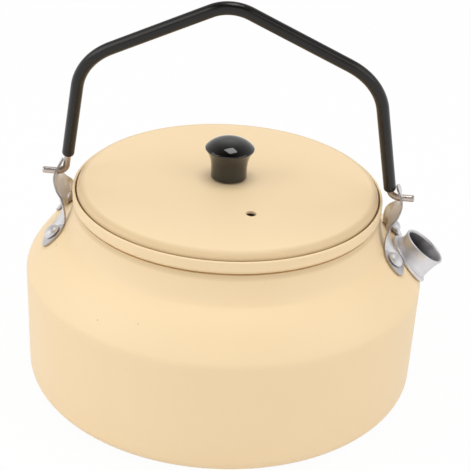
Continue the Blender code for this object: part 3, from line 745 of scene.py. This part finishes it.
spout = {
    "sides": 112,
    "climb": 0.0103,             # up the shoulder to the middle of its foot
    "bore": (0.0074, 0.0069),    # half sizes, across and up the shoulder
    "wall": 0.0009,
    "flange": (0.0098, 0.0093),
    "flangeThickness": 0.0012,
    "flangeBead": 0.0004,
    "beadRings": 13,
    "curl": (0.0094, 0.0090),
    "curlThickness": 0.0009,
    "root": (0.0088, 0.0084),
    "waist": 0.0005,
    "mouthRadius": 0.0085,
    "mouthAhead": 0.0052,
    "mouthRise": 0.0055,
    "mouthTilt": math.radians(55),
    "sweep": 0.006,
    "neckRings": 34,
    "lipRings": 9,
    "boreRows": 32,              # rows of faces inside, from a little below the lip, that carry the bore's painted shade
    "sharp": 50,
}
portHole = {
    "below": 0.003,              # how far the plug for the spout's port goes in and out
    "above": 0.002,
    "tip": (0.0001, 0.0001),
}


def grown(halfSizes, amount):
    # an oval's half sizes, both larger by an amount
    return (halfSizes[0] + amount, halfSizes[1] + amount)


def spoutAxes():
    # outward direction at the foot, direction and middle of the mouth
    reach, height, tilt = (float(v) for v in shoulderAlong(np.array(spout["climb"])))
    mouth = spout["mouthTilt"]
    return (np.array([math.cos(tilt), 0.0, math.sin(tilt)]),
            np.array([math.cos(mouth), 0.0, math.sin(mouth)]),
            np.array([reach + spout["mouthAhead"], 0.0, height + spout["mouthRise"]]))


rootAxis, spoutAxis, spoutMouth = spoutAxes()


def footRing(halfSizes, distance):
    # an oval laid on the curved shoulder by its own lengths, and lifted a distance off it
    turn = np.linspace(0, 2 * math.pi, spout["sides"], endpoint=False)
    reach, height, tilt = shoulderAlong(spout["climb"] + halfSizes[1] * np.sin(turn))
    around = halfSizes[0] * np.cos(turn) / shoulderAlong(np.array(spout["climb"]))[0]
    reach = reach + distance * np.cos(tilt)
    return np.column_stack([reach * np.cos(around), reach * np.sin(around),
                            height + distance * np.sin(tilt)])


def mouthRing(radius, ahead):
    # a circle square to the mouth's axis: middle + ahead + radius * (cos a * side + sin a * (axis x side))
    turn = np.linspace(0, 2 * math.pi, spout["sides"], endpoint=False)[:, None]
    side = np.array([0.0, 1.0, 0.0])
    ring = np.cos(turn) * side + np.sin(turn) * np.cross(spoutAxis, side)
    return spoutMouth + spoutAxis * ahead + radius * ring


def neckRing(share, root, endRadius, rootDistance):
    # from the foot's oval to the mouth's circle on a cubic that leaves and arrives square
    waist = spout["waist"] * math.sin(math.pi * share)
    start = footRing(grown(root, -waist), rootDistance)
    end = mouthRing(endRadius - waist, 0.0)
    bend = spout["sweep"] * (share * (1 - share) ** 2 * rootAxis - share ** 2 * (1 - share) * spoutAxis)
    return start + (end - start) * share * share * (3 - 2 * share) + bend


def spoutRings():
    # round the wall: inside curl, through the port, flange with its bead, neck, lip, and back down the bore
    wall, bore, lip = spout["wall"], spout["bore"], spout["mouthRadius"]
    under = seatGap
    over = seatGap + spout["flangeThickness"]
    curlTop = -pot["wall"] - seatGap
    curlBottom = curlTop - spout["curlThickness"]
    tube = grown(bore, wall)
    beadTurn = np.linspace(-quarter, quarter, spout["beadRings"])
    lipTurn = np.linspace(0, math.pi, spout["lipRings"])[1:-1]
    share = np.linspace(0, 1, spout["neckRings"])
    rings = [footRing(bore, curlBottom), footRing(spout["curl"], curlBottom)]
    rings += [footRing(spout["curl"], curlTop), footRing(tube, curlTop), footRing(tube, under)]
    rings += [footRing(grown(spout["flange"], spout["flangeBead"] * math.cos(a)),
                       (under + over) / 2 + (over - under) / 2 * math.sin(a)) for a in beadTurn]
    rings += [neckRing(t, spout["root"], lip, over) for t in share]
    rings += [mouthRing(lip - wall / 2 + wall / 2 * math.cos(a), wall / 2 * math.sin(a)) for a in lipTurn]
    rings += [neckRing(t, bore, lip - wall, under) for t in share[::-1]]
    return np.array(rings)


spoutMesh = dressed(gridMesh("spout_tube", spoutRings(), True), "spoutMetal", "spoutBore")
boreFaces = spout["boreRows"] * spout["sides"]
inside = np.arange(len(spoutMesh.polygons)) >= len(spoutMesh.polygons) - boreFaces
spoutMesh.polygons.foreach_set("material_index", inside.astype(np.int32))
spoutPiece = newObject("spout_tube", closed(spoutMesh, spout["sharp"]))
riding(spoutPiece, "kettle", "spout")
print("spout made")


# Rivets

rivet = {
    "reach": 0.0629,
    "spacing": 0.0276,
    "shank": 0.0016,
    "head": 0.0031,
    "headHeight": 0.0022,
    "headPower": 0.92,           # under 1 makes the dome's shoulder fuller
    "headPoints": 20,
    "tail": 0.0027,
    "tailHeight": 0.0012,
    "tailShare": 0.7,
    "sides": 48,
    "potHole": 0.008,            # lengths of the plugs
    "earHole": 0.005,
}
ear = {
    "sheet": 0.0007,
    "eyeHeight": 0.0775,
    "eyeRadius": 0.00155,
    "eyeHole": 0.006,            # length of the plug
    "bulgeReach": 0.0644,
    "bulgeBelowEye": 0.0006,
    "bowLower": 45.0,            # how the plate bows in below and above the eye, per metre
    "bowUpper": 80.0,
    "wrap": 13.0,                # how its lower corners draw in round the rim, per metre
    "wrapFade": 0.01,
    "topAboveEye": 0.0047,
    "between": 9,
    "across": 22,
    "edgeRound": 0.00012,
    "edgeSteps": 2,
    "edgeAngle": 50,
    "sharp": 45,
}


def rivetSeat(side, end):
    # place on the shoulder and outward direction there
    point = seated(np.array([rivet["reach"], end * rivet["spacing"] / 2, seating["start"]]), 0.0)
    crown = crownCentre()
    radius = math.hypot(point[0], point[1])
    tilt = math.atan2(point[2] - crown[1], radius - crown[0])
    level = math.cos(tilt)
    outward = np.array([point[0] / radius * level, point[1] / radius * level, math.sin(tilt)])
    turn = np.array([side, 1, 1])
    return Vector(point * turn), Vector(outward * turn)


def rivetSection():
    # a flattened dome, reach = head * cos(a) ** power, the shank, and the spread tail inside the pot
    base = 2 * seatGap + ear["sheet"]
    tailTop = -pot["wall"] - seatGap
    turn = np.linspace(quarter, 0, rivet["headPoints"])
    dome = np.column_stack([rivet["head"] * np.cos(turn) ** rivet["headPower"],
                            base + rivet["headHeight"] * np.sin(turn)])
    tail = rivet["tailHeight"]
    rest = np.array([(rivet["shank"], base), (rivet["shank"], tailTop), (rivet["tail"], tailTop),
                     (rivet["tail"], tailTop - tail / 2),
                     (rivet["tail"] * rivet["tailShare"], tailTop - tail), (0.0, tailTop - tail)])
    return np.concatenate([dome, rest])


rivetSeats = {}
for sideName, side in (("left", -1), ("right", 1)):
    for endName, end in (("front", -1), ("rear", 1)):
        place, outward = rivetSeat(side, end)
        rivetSeats[sideName, endName] = (place, outward)
        upright = outward.to_track_quat("Z", "Y").to_matrix().to_4x4()
        name = "rivet_" + sideName + "_" + endName
        mesh = turned(name + "_head", rivetSection(), rivet["sides"],
                      place=Matrix.Translation(place) @ upright)
        riding(newObject(name + "_head", dressed(mesh, "rivetHead")), "kettle", name)
print("rivets made:", len(rivetSeats))

rivetHole = rivet["shank"] + holeClearance
port = grown(spout["bore"], spout["wall"] + holeClearance)
portGrid = np.array([footRing(portHole["tip"], -portHole["below"]), footRing(port, -portHole["below"]),
                     footRing(port, portHole["above"]), footRing(portHole["tip"], portHole["above"])])
plugs = [newObject("portPlug", closed(gridMesh("portPlug", portGrid), filled=True))]
plugs += [cylinder(place, outward, rivetHole, rivet["potHole"]) for place, outward in rivetSeats.values()]
potPiece = newObject("pot_shell", dressed(turned("pot_shell", potSection(), pot["sides"]), "cream"))
holed(potPiece, plugs)
baked(potPiece, plugs, pot["sharp"])
riding(potPiece, "kettle", "pot_body")
print("pot made:", len(potPiece.data.polygons), "faces")


# Ears

def smoothLine(points, between):
    # a curve through the points: each stretch is the cubic whose slopes are half the span of its neighbours
    padded = np.vstack([2 * points[0] - points[1], points, 2 * points[-1] - points[-2]])
    p0, p1, p2, p3 = (padded[k:len(padded) - 3 + k, None, :] for k in range(4))
    t = np.linspace(0, 1, between, endpoint=False)[None, :, None]
    line = 0.5 * (2 * p1 + (p2 - p0) * t + (2 * p0 - 5 * p1 + 4 * p2 - p3) * t ** 2
                  + (3 * p1 - p0 - 3 * p2 + p3) * t ** 3)
    return np.vstack([line.reshape(-1, 3), points[-1:]])


def earReach(sideStep, level):
    # the upright plate: bowed about the eye, reach = bulge - bow * rise ** 2, and its lower corners drawn in
    # round the rim by wrap * sideways ** 2
    fromBulge = level - (ear["eyeHeight"] - ear["bulgeBelowEye"])
    bow = np.where(fromBulge < 0, ear["bowLower"], ear["bowUpper"])
    low = np.clip(-fromBulge / ear["wrapFade"], 0, 1)
    return ear["bulgeReach"] - bow * fromBulge ** 2 - ear["wrap"] * low * sideStep ** 2


# pairs of edge points of half an ear, from the toe to its middle: the first on the edge that lies outward
# at the foot and runs round the arch, the second on the edge that runs over the top of the plate
# foot: outward from the rivet, and from it towards the ear's middle
earFoot = np.array([((0.0023, -0.0053), (0.0004, -0.0052)),
                    ((0.0036, -0.0038), (-0.0012, -0.0041)),
                    ((0.0041, -0.0014), (-0.0025, -0.0022)),
                    ((0.0042, 0.0022), (-0.0031, 0.0002)),
                    ((0.0037, 0.0050), (-0.0033, 0.0020))])
# shank: outward from the rivet, sideways from the ear's middle, above the eye
earShank = np.array([((0.0020, -0.0083, -0.0190), (-0.0035, -0.0112, -0.0143)),
                     ((0.0003, -0.0076, -0.0167), (-0.0034, -0.0111, -0.0117)),
                     ((-0.0016, -0.0068, -0.0141), (-0.0028, -0.0105, -0.0093)),
                     ((-0.0023, -0.0056, -0.0117), (-0.0016, -0.0089, -0.0070))])
# plate: sideways from the ear's middle, above the eye
earPlate = np.array([((-0.0038, -0.0103), (-0.0070, -0.0040)),
                     ((-0.0019, -0.0098), (-0.0060, 0.0002)),
                     ((-0.0006, -0.0097), (-0.0037, 0.0036)),
                     ((0.0, -0.0097), (0.0, ear["topAboveEye"]))])


def earSurface():
    # the sheet's middle surface: straight rows between the two edges, feet laid on the shoulder, plate bowed
    seat = seatGap + ear["sheet"] / 2
    edges = []
    for pick in (0, 1):
        foot = np.column_stack([rivet["reach"] + earFoot[:, pick, 0],
                                earFoot[:, pick, 1] - rivet["spacing"] / 2,
                                np.full(len(earFoot), seating["start"])])
        shank = earShank[:, pick] + (rivet["reach"], 0.0, ear["eyeHeight"])
        level = ear["eyeHeight"] + earPlate[:, pick, 1]
        plate = np.column_stack([earReach(earPlate[:, pick, 0], level), earPlate[:, pick, 0], level])
        edges.append(smoothLine(np.vstack([seated(foot, seat), shank, plate]), ear["between"]))
    share = np.linspace(0, 1, ear["across"])[None, :, None]
    grid = edges[0][:, None, :] * (1 - share) + edges[1][:, None, :] * share
    station = np.arange(len(grid)) / ear["between"]
    onFoot = np.clip(len(earFoot) - station, 0, 1)[:, None]
    onPlate = np.clip(station - len(earFoot) - len(earShank) + 1, 0, 1)[:, None]
    grid[..., 2] += (seated(grid, seat)[..., 2] - grid[..., 2]) * onFoot
    grid[..., 0] += (earReach(grid[..., 1], grid[..., 2]) - grid[..., 0]) * onPlate
    return np.concatenate([grid, grid[-2::-1] * (1, -1, 1)])


for sideName, side in (("left", -1), ("right", 1)):
    grid = earSurface()
    if side < 0:
        grid = grid[:, ::-1] * (-1, 1, 1)
    name = "ear_" + sideName
    earMesh = gridMesh(name + "_sheet", grid, ringsClosed=False)
    earPiece = newObject(name + "_sheet", dressed(earMesh, "sheetMetal", "shadedCutEdge"))
    sheet = earPiece.modifiers.new("sheet", "SOLIDIFY")
    sheet.thickness = ear["sheet"]
    sheet.offset = 0.0
    sheet.use_even_offset = True
    # the sheet's cut edge takes the second finish, with painted shade
    sheet.material_offset_rim = 1
    eye = (side * ear["bulgeReach"], 0, ear["eyeHeight"])
    plugs = [cylinder(eye, (1, 0, 0), ear["eyeRadius"], ear["eyeHole"])]
    plugs += [cylinder(*rivetSeats[sideName, endName], rivetHole, rivet["earHole"])
              for endName in ("front", "rear")]
    holed(earPiece, plugs)
    soften = earPiece.modifiers.new("soften", "BEVEL")
    soften.width = ear["edgeRound"]
    soften.segments = ear["edgeSteps"]
    soften.limit_method = "ANGLE"
    soften.angle_limit = math.radians(ear["edgeAngle"])
    baked(earPiece, plugs, ear["sharp"])
    riding(earPiece, "kettle", name)
print("ears made")


# Lid

lid = {
    "sides": 224,
    "sheet": 0.001,
    "clearance": 0.0005,
    "centre": 0.0803,
    "crown": 0.8,
    "edge": 0.0026,
    "screwHole": 0.0023,
    "ventRadius": 0.0019,
    "ventPlace": (0.0104, -0.0272),
    "ventHole": 0.006,           # length of the plug
    "domeSpacing": 0.002,
    "edgeSpacing": 0.0004,
    "footSpacing": 0.0002,
    "sharp": 35,
}


def lidSection():
    # shallow dome, rolled edge and skirt, drawn on both sides of the sheet, with a rounded lower edge
    skirt = pot["rimInner"] - lid["clearance"]
    crownZ = lid["centre"] - lid["crown"]
    reach = skirt - lid["edge"]
    turn = math.acos(reach / (lid["crown"] - lid["edge"]))
    edge = (reach, crownZ + (lid["crown"] - lid["edge"]) * math.sin(turn))
    sides = []
    for inset in (0.0, lid["sheet"]):
        radius = lid["crown"] - inset
        start = math.acos(lid["screwHole"] / radius)
        dome = arcLine((0.0, crownZ), radius, start, turn, lid["domeSpacing"])
        roll = arcLine(edge, lid["edge"] - inset, turn, 0.0, lid["edgeSpacing"])
        sides.append(np.vstack([dome, roll[1:]]))
    footMiddle = (skirt - lid["sheet"] / 2, pot["ledge"] + seatGap + lid["sheet"] / 2)
    foot = arcLine(footMiddle, lid["sheet"] / 2, 0.0, -math.pi, lid["footSpacing"])
    return np.vstack([sides[0], foot, sides[1][::-1]])


lidMesh = turned("lid_dish", lidSection(), lid["sides"], rowsClosed=True)
lidPiece = newObject("lid_dish", dressed(lidMesh, "cream"))
plugs = [cylinder((*lid["ventPlace"], lid["centre"]), (0, 0, 1), lid["ventRadius"], lid["ventHole"])]
holed(lidPiece, plugs)
baked(lidPiece, plugs, lid["sharp"])
riding(lidPiece, "lid", "lid")
print("lid made")


# Knob and what holds it

knob = {
    "sides": 112,
    "height": 0.015,
    "cap": 0.0093,
    "capHeight": 0.0034,
    "domePower": 3.2,
    "edgeRound": 0.0005,
    "stem": 0.0067,
    "flareLength": 0.009,
    "flare": 2.8,
    "foot": 0.0006,
    "points": 40,
    "edgePoints": 11,
    "footSpacing": 0.0001,
    "insert": 0.0029,
    "insertLength": 0.0085,
    "boreDepth": 0.007,
    "insertSides": 48,
    "screw": 0.002,
    "grip": 0.0055,
    "screwHead": 0.0037,
    "screwHeadHeight": 0.0024,
    "headSpacing": 0.0002,
    "screwSides": 48,
    "washer": 0.0055,
    "washerThickness": 0.0008,
    "washerSides": 64,
}
knobBase = lid["centre"] + seatGap
screwBore = knob["screw"] + seatGap
washerTop = lid["centre"] - lid["sheet"] - seatGap      # under the lid, and the screw's head under it
washerBottom = washerTop - knob["washerThickness"]


def knobSection():
    # dome: height = capHeight * (1 - (r / cap) ** domePower); below it the reach fades to the stem's as
    # (1 - depth / flareLength) ** flare; the corner between the two is rounded by a quadratic curve
    widest = knobBase + knob["height"] - knob["capHeight"]
    reach = knob["cap"] * np.sin(np.linspace(0, quarter, knob["points"]))
    rise = knob["capHeight"] * (1 - (reach / knob["cap"]) ** knob["domePower"])
    dome = np.column_stack([reach, widest + rise])
    share = np.linspace(0, 1, knob["points"])
    stem = np.column_stack([knob["stem"] + (knob["cap"] - knob["stem"]) * (1 - share) ** knob["flare"],
                            widest - knob["flareLength"] * share])
    corner = np.array([knob["cap"], widest])
    dome = dome[np.linalg.norm(dome - corner, axis=1) > knob["edgeRound"]]
    stem = stem[np.linalg.norm(stem - corner, axis=1) > knob["edgeRound"]]
    t = np.linspace(0, 1, knob["edgePoints"])[1:-1, None]
    edge = dome[-1] * (1 - t) ** 2 + corner * 2 * t * (1 - t) + stem[0] * t ** 2
    footMiddle = (knob["stem"] - knob["foot"], knobBase + knob["foot"])
    foot = arcLine(footMiddle, knob["foot"], 0.0, -quarter, knob["footSpacing"])
    socket = knob["insert"] + seatGap
    socketTop = knobBase + knob["insertLength"] + seatGap
    inside = np.array([(socket, knobBase), (socket, socketTop), (0.0, socketTop)])
    return np.vstack([dome, edge, stem, foot, inside])


def insertSection():
    # a plain bush, open below for the screw
    top = knobBase + knob["insertLength"]
    boreTop = knobBase + knob["boreDepth"]
    return np.array([(0, top), (knob["insert"], top), (knob["insert"], knobBase), (screwBore, knobBase),
                     (screwBore, boreTop), (0, boreTop)])


def washerSection():
    # a flat ring
    return np.array([(knob["washer"], washerTop), (knob["washer"], washerBottom),
                     (screwBore, washerBottom), (screwBore, washerTop)])


def screwSection():
    # a plain shank and a pan head, its lower edge rounded by half its height
    shankTop = knobBase + knob["grip"]
    headTop = washerBottom - seatGap
    headBottom = headTop - knob["screwHeadHeight"]
    rounding = knob["screwHeadHeight"] / 2
    edgeMiddle = (knob["screwHead"] - rounding, headBottom + rounding)
    edge = arcLine(edgeMiddle, rounding, 0.0, -quarter, knob["headSpacing"])
    shank = [(0, shankTop), (knob["screw"], shankTop), (knob["screw"], headTop), (knob["screwHead"], headTop)]
    return np.vstack([shank, edge, [(0, headBottom)]])


knobPieces = {
    "knob_moulding": ("lid_knob", knobSection(), knob["sides"], False, "black_moulding", "moulding"),
    "knob_bush": ("knob_insert", insertSection(), knob["insertSides"], False, "brass", "brass"),
    "knob_ring": ("knob_washer", washerSection(), knob["washerSides"], True, "bright_steel", "steel"),
    "knob_fixing": ("knob_screw", screwSection(), knob["screwSides"], False, "bright_steel", "steel"),
}
for name, (node, section, sides, ringed, slot, finish) in knobPieces.items():
    riding(newObject(name, dressed(turned(name, section, sides, ringed), finish)), "lid", node)
print("knob and its fixing made")


# Bail

bail = {
    "sides": 40,
    "wire": 0.00125,
    "chamfer": 0.00025,
    "endReach": 0.0694,
    "legReach": 0.0608,
    "cornerReach": 0.0517,
    "cornerRise": 0.0536,
    "peakRise": 0.0815,
    "pinBend": 0.004,
    "cornerBend": 0.025,
    "peakBend": 0.014,
    "bendStep": math.radians(3),
    "bendPoints": 6,             # at least
    "lean": math.radians(17.7),
    "sidePlay": 0.0004,
    "wirePoints": 420,
    "wireMargin": 0.001,
    "sleeve": 0.00228,
    "sleeveBore": 0.00145,
    "sleeveEnd": 0.78,           # share of the radius at its very end
    "sleeveTaper": 0.0008,
    "sleevePoints": 400,
    "sleeveMargin": 0.0006,
    "endPoints": 9,
    "startLeft": 0.0092,         # bare wire up each leg
    "startRight": 0.0040,
    "sharp": 50,
}


def bailRoute(corners, radii):
    # straight runs joined by arcs that touch both, in the bail's own plane: (along the pins, up the leg);
    # an arc's centre is radius / sin(half the opening) from its corner
    corners = np.asarray(corners, float)
    route = [corners[:1]]
    for before, corner, after, radius in zip(corners, corners[1:], corners[2:], radii):
        toBefore = (before - corner) / np.linalg.norm(before - corner)
        toAfter = (after - corner) / np.linalg.norm(after - corner)
        opening = math.acos(float(toBefore @ toAfter))
        middle = toBefore + toAfter
        centre = corner + middle / np.linalg.norm(middle) * radius / math.sin(opening / 2)
        start = corner + toBefore * radius / math.tan(opening / 2) - centre
        sweep = math.pi - opening
        count = max(bail["bendPoints"], math.ceil(sweep / bail["bendStep"]))
        turn = np.linspace(0, sweep, count)[:, None]
        route.append(centre + start * np.cos(turn) - toBefore * radius * np.sin(turn))
    route.append(corners[-1:])
    return np.concatenate(route)


def routeLength(route):
    # the sum of its steps
    return np.linalg.norm(np.diff(route, axis=0), axis=1).sum()


def carried(route, stations):
    # rings about the route, each across its direction at a station (length along it, radius):
    # point + radius * (cos a * the normal in the plane + sin a * the normal of the plane), leaned forward
    steps = np.diff(route, axis=0)
    lengths = np.concatenate([[0.0], np.cumsum(np.linalg.norm(steps, axis=1))])
    middles = (lengths[1:] + lengths[:-1]) / 2
    headings = np.unwrap(np.arctan2(steps[:, 1], steps[:, 0]))
    at = stations[:, 0]
    radius = stations[:, 1][:, None]
    heading = np.interp(at, middles, headings)[:, None]
    turn = np.linspace(0, 2 * math.pi, bail["sides"], endpoint=False)[None, :]
    across = np.interp(at, lengths, route[:, 0])[:, None] - radius * np.cos(turn) * np.sin(heading)
    level = np.interp(at, lengths, route[:, 1])[:, None] + radius * np.cos(turn) * np.cos(heading)
    outOfPlane = radius * np.sin(turn)
    lean = bail["lean"]
    return np.stack([across - bail["sidePlay"], -level * math.sin(lean) - outOfPlane * math.cos(lean),
                     ear["eyeHeight"] + level * math.cos(lean) - outOfPlane * math.sin(lean)], axis=-1)


def wireStations(total):
    # one radius from end to end, both ends chamfered
    chamfer, wire, margin = bail["chamfer"], bail["wire"], bail["wireMargin"]
    length = np.linspace(margin, total - margin, bail["wirePoints"])
    return np.vstack([[(0, 0), (0, wire - chamfer), (chamfer, wire)],
                      np.column_stack([length, np.full(len(length), wire)]),
                      [(total - chamfer, wire), (total, wire - chamfer), (total, 0)]])


def sleeveStations(total):
    # out along the outside and back through the bore; at the rounded ends the radius grows as sin a over a
    # length of taper * (1 - cos a)
    first = bail["startLeft"]
    last = total - bail["startRight"]
    taper = bail["sleeveTaper"]
    margin = taper + bail["sleeveMargin"]
    turn = np.linspace(0, quarter, bail["endPoints"])
    endRadius = bail["sleeve"] * (bail["sleeveEnd"] + (1 - bail["sleeveEnd"]) * np.sin(turn))
    drawn = taper * (1 - np.cos(turn))
    length = np.linspace(first + margin, last - margin, bail["sleevePoints"])
    boreLength = length.copy()
    boreLength[[0, -1]] = first, last
    return np.vstack([np.column_stack([first + drawn, endRadius]),
                      np.column_stack([length, np.full(len(length), bail["sleeve"])]),
                      np.column_stack([last - drawn, endRadius])[::-1],
                      np.column_stack([boreLength, np.full(len(length), bail["sleeveBore"])])[::-1]])


half = [(bail["endReach"], 0.0), (bail["legReach"], 0.0), (bail["cornerReach"], bail["cornerRise"])]
corners = [(-x, z) for x, z in half] + [(0.0, bail["peakRise"])] + half[::-1]
bends = [bail["pinBend"], bail["cornerBend"], bail["peakBend"], bail["cornerBend"], bail["pinBend"]]
route = bailRoute(corners, bends)
wireGrid = carried(route, wireStations(routeLength(route)))
wireMesh = closed(gridMesh("handle_wire_rod", wireGrid), bail["sharp"])
wirePiece = newObject("handle_wire_rod", dressed(wireMesh, "wire"))
riding(wirePiece, "bail", "handle_wire")

covered = bailRoute(corners[1:-1], bends[1:-1])
sleeveGrid = carried(covered, sleeveStations(routeLength(covered)))
sleeveMesh = closed(gridMesh("handle_sleeve_tube", sleeveGrid, True), bail["sharp"])
sleevePiece = newObject("handle_sleeve_tube", dressed(sleeveMesh, "sleeve"))
riding(sleevePiece, "bail", "handle_sleeve")
print("bail and sleeve made")


# Camera, fitted to the pot's outline and rim

cameraView = {
    "elevation": 0.488,
    "distance": 0.50023,
    "focal": 1316.44,            # in pixels of the frame
    "frame": 470,
    "roll": 0.0543,
    "target": (0.003556, 0.0, 0.056189),
    "yaw": 0.0568,
    "sensor": 36.0,
    "nearest": 0.01,
}


def makeCamera():
    # looks back along the line of sight; roll turns the frame, yaw turns everything about the pot's axis
    elevation, roll, yaw = cameraView["elevation"], cameraView["roll"], cameraView["yaw"]
    back = Vector((0, -math.cos(elevation), math.sin(elevation)))
    right = Vector((1, 0, 0))
    up = back.cross(right)
    eye = Vector(cameraView["target"]) + back * cameraView["distance"]
    across = right * math.cos(roll) + up * math.sin(roll)
    upward = up * math.cos(roll) - right * math.sin(roll)
    turn = Matrix.Rotation(yaw, 4, "Z")
    frameTurn = Matrix((across, upward, back)).transposed().to_4x4()
    data = bpy.data.cameras.new("view")
    data.sensor_width = cameraView["sensor"]
    data.lens = cameraView["focal"] / cameraView["frame"] * cameraView["sensor"]
    data.clip_start = cameraView["nearest"]
    camera = newObject("view", data)
    camera.matrix_world = turn @ Matrix.Translation(eye) @ frameTurn
    bpy.context.scene.camera = camera


# Floor, world and lamps

white = (1, 1, 1, 1)
studio = {
    "floorSize": 3.0,
    "floorDrop": 0.0002,
    "floorSides": 96,
    "floorColour": (0.86, 0.86, 0.87, 1.0),
    "floorRoughness": 0.9,
    "floorGlow": 0.96,           # how white the floor is to the camera and in reflections
    "skyForObject": 0.63,
    "skyInMirror": 0.78,
    "darkCeiling": 0.90,
    "backWall": 0.7,
    "aim": (0.0, 0.0, 0.05),
}
lamps = {
    "leftLamp": {"place": (-1.05, -0.35, 0.60), "size": (0.9, 0.8), "power": 4.0},
    "rightLamp": {"place": (1.05, -0.35, 0.60), "size": (0.9, 0.8), "power": 2.65},
    "topLamp": {"place": (0.05, 0.04, 1.15), "size": (0.54, 0.50), "power": 3.6},
    "frontLamp": {"place": (0.0, -1.15, 0.55), "size": (0.9, 0.5), "power": 0.85},
}


def makeFloor():
    # a round pale sheet, a little below the pot's base, whiter to the camera than to the object
    section = np.array([(0.0, -studio["floorDrop"]), (studio["floorSize"], -studio["floorDrop"])])
    floor = newObject("studio_floor", turned("studio_floor", section, studio["floorSides"]))
    finish = Finish("paleFloor")
    finish.set(colour=studio["floorColour"], roughness=studio["floorRoughness"], specular=0.0)
    seen = finish.node("LightPath", output="Is Camera Ray")
    mirrored = finish.node("LightPath", output="Is Glossy Ray")
    glow = finish.node("Emission", inputs={"Color": white, "Strength": 1.0})
    matt = Value(finish.tree, finish.shader.outputs[0])
    share = seen.larger(mirrored) * studio["floorGlow"]
    blend = finish.node("MixShader", inputs={0: share, 1: matt, 2: glow})
    finish.feed(finish.tree.nodes["Material Output"].inputs["Surface"], blend)
    floor.data.materials.append(finish.made)


def makeSky():
    # white where it is seen, plain and lower as light; in reflections its level is skyInMirror *
    # (1 - overhead * darkCeiling), where overhead is the direction's height, less towards the wall behind
    sky = bpy.data.worlds.new("studioSky")
    bpy.context.scene.world = sky
    finish = Finish("studioSky", sky)
    ground = finish.tree.nodes["Background"]
    seen = finish.node("LightPath", output="Is Camera Ray")
    mirrored = finish.node("LightPath", output="Is Glossy Ray")
    through = finish.node("LightPath", output="Is Transmission Ray")
    shown = seen.larger(through)
    back, up = finish.split(finish.node("TexCoord", output="Generated"))[1:]
    overhead = up.larger(0.0) * (1 - back * studio["backWall"]).larger(0.0)
    reflected = studio["skyInMirror"] * (1 - overhead * studio["darkCeiling"])
    level = mirrored * reflected + (1 - mirrored) * studio["skyForObject"]
    finish.feed(ground.inputs["Color"], white)
    finish.feed(ground.inputs["Strength"], shown + (1 - shown) * level)


def makeLamp(name, lamp):
    # a soft rectangle of light, turned to face the kettle
    data = bpy.data.lights.new(name, "AREA")
    data.shape = "RECTANGLE"
    data.size, data.size_y = lamp["size"]
    data.energy = lamp["power"]
    made = newObject(name, data)
    made.location = lamp["place"]
    towards = Vector(studio["aim"]) - Vector(lamp["place"])
    made.rotation_euler = towards.to_track_quat("-Z", "Y").to_euler()


bpy.context.scene.view_settings.view_transform = "Standard"
makeCamera()
makeFloor()
makeSky()
for name, lamp in lamps.items():
    makeLamp(name, lamp)
print("camera, floor and lamps made")
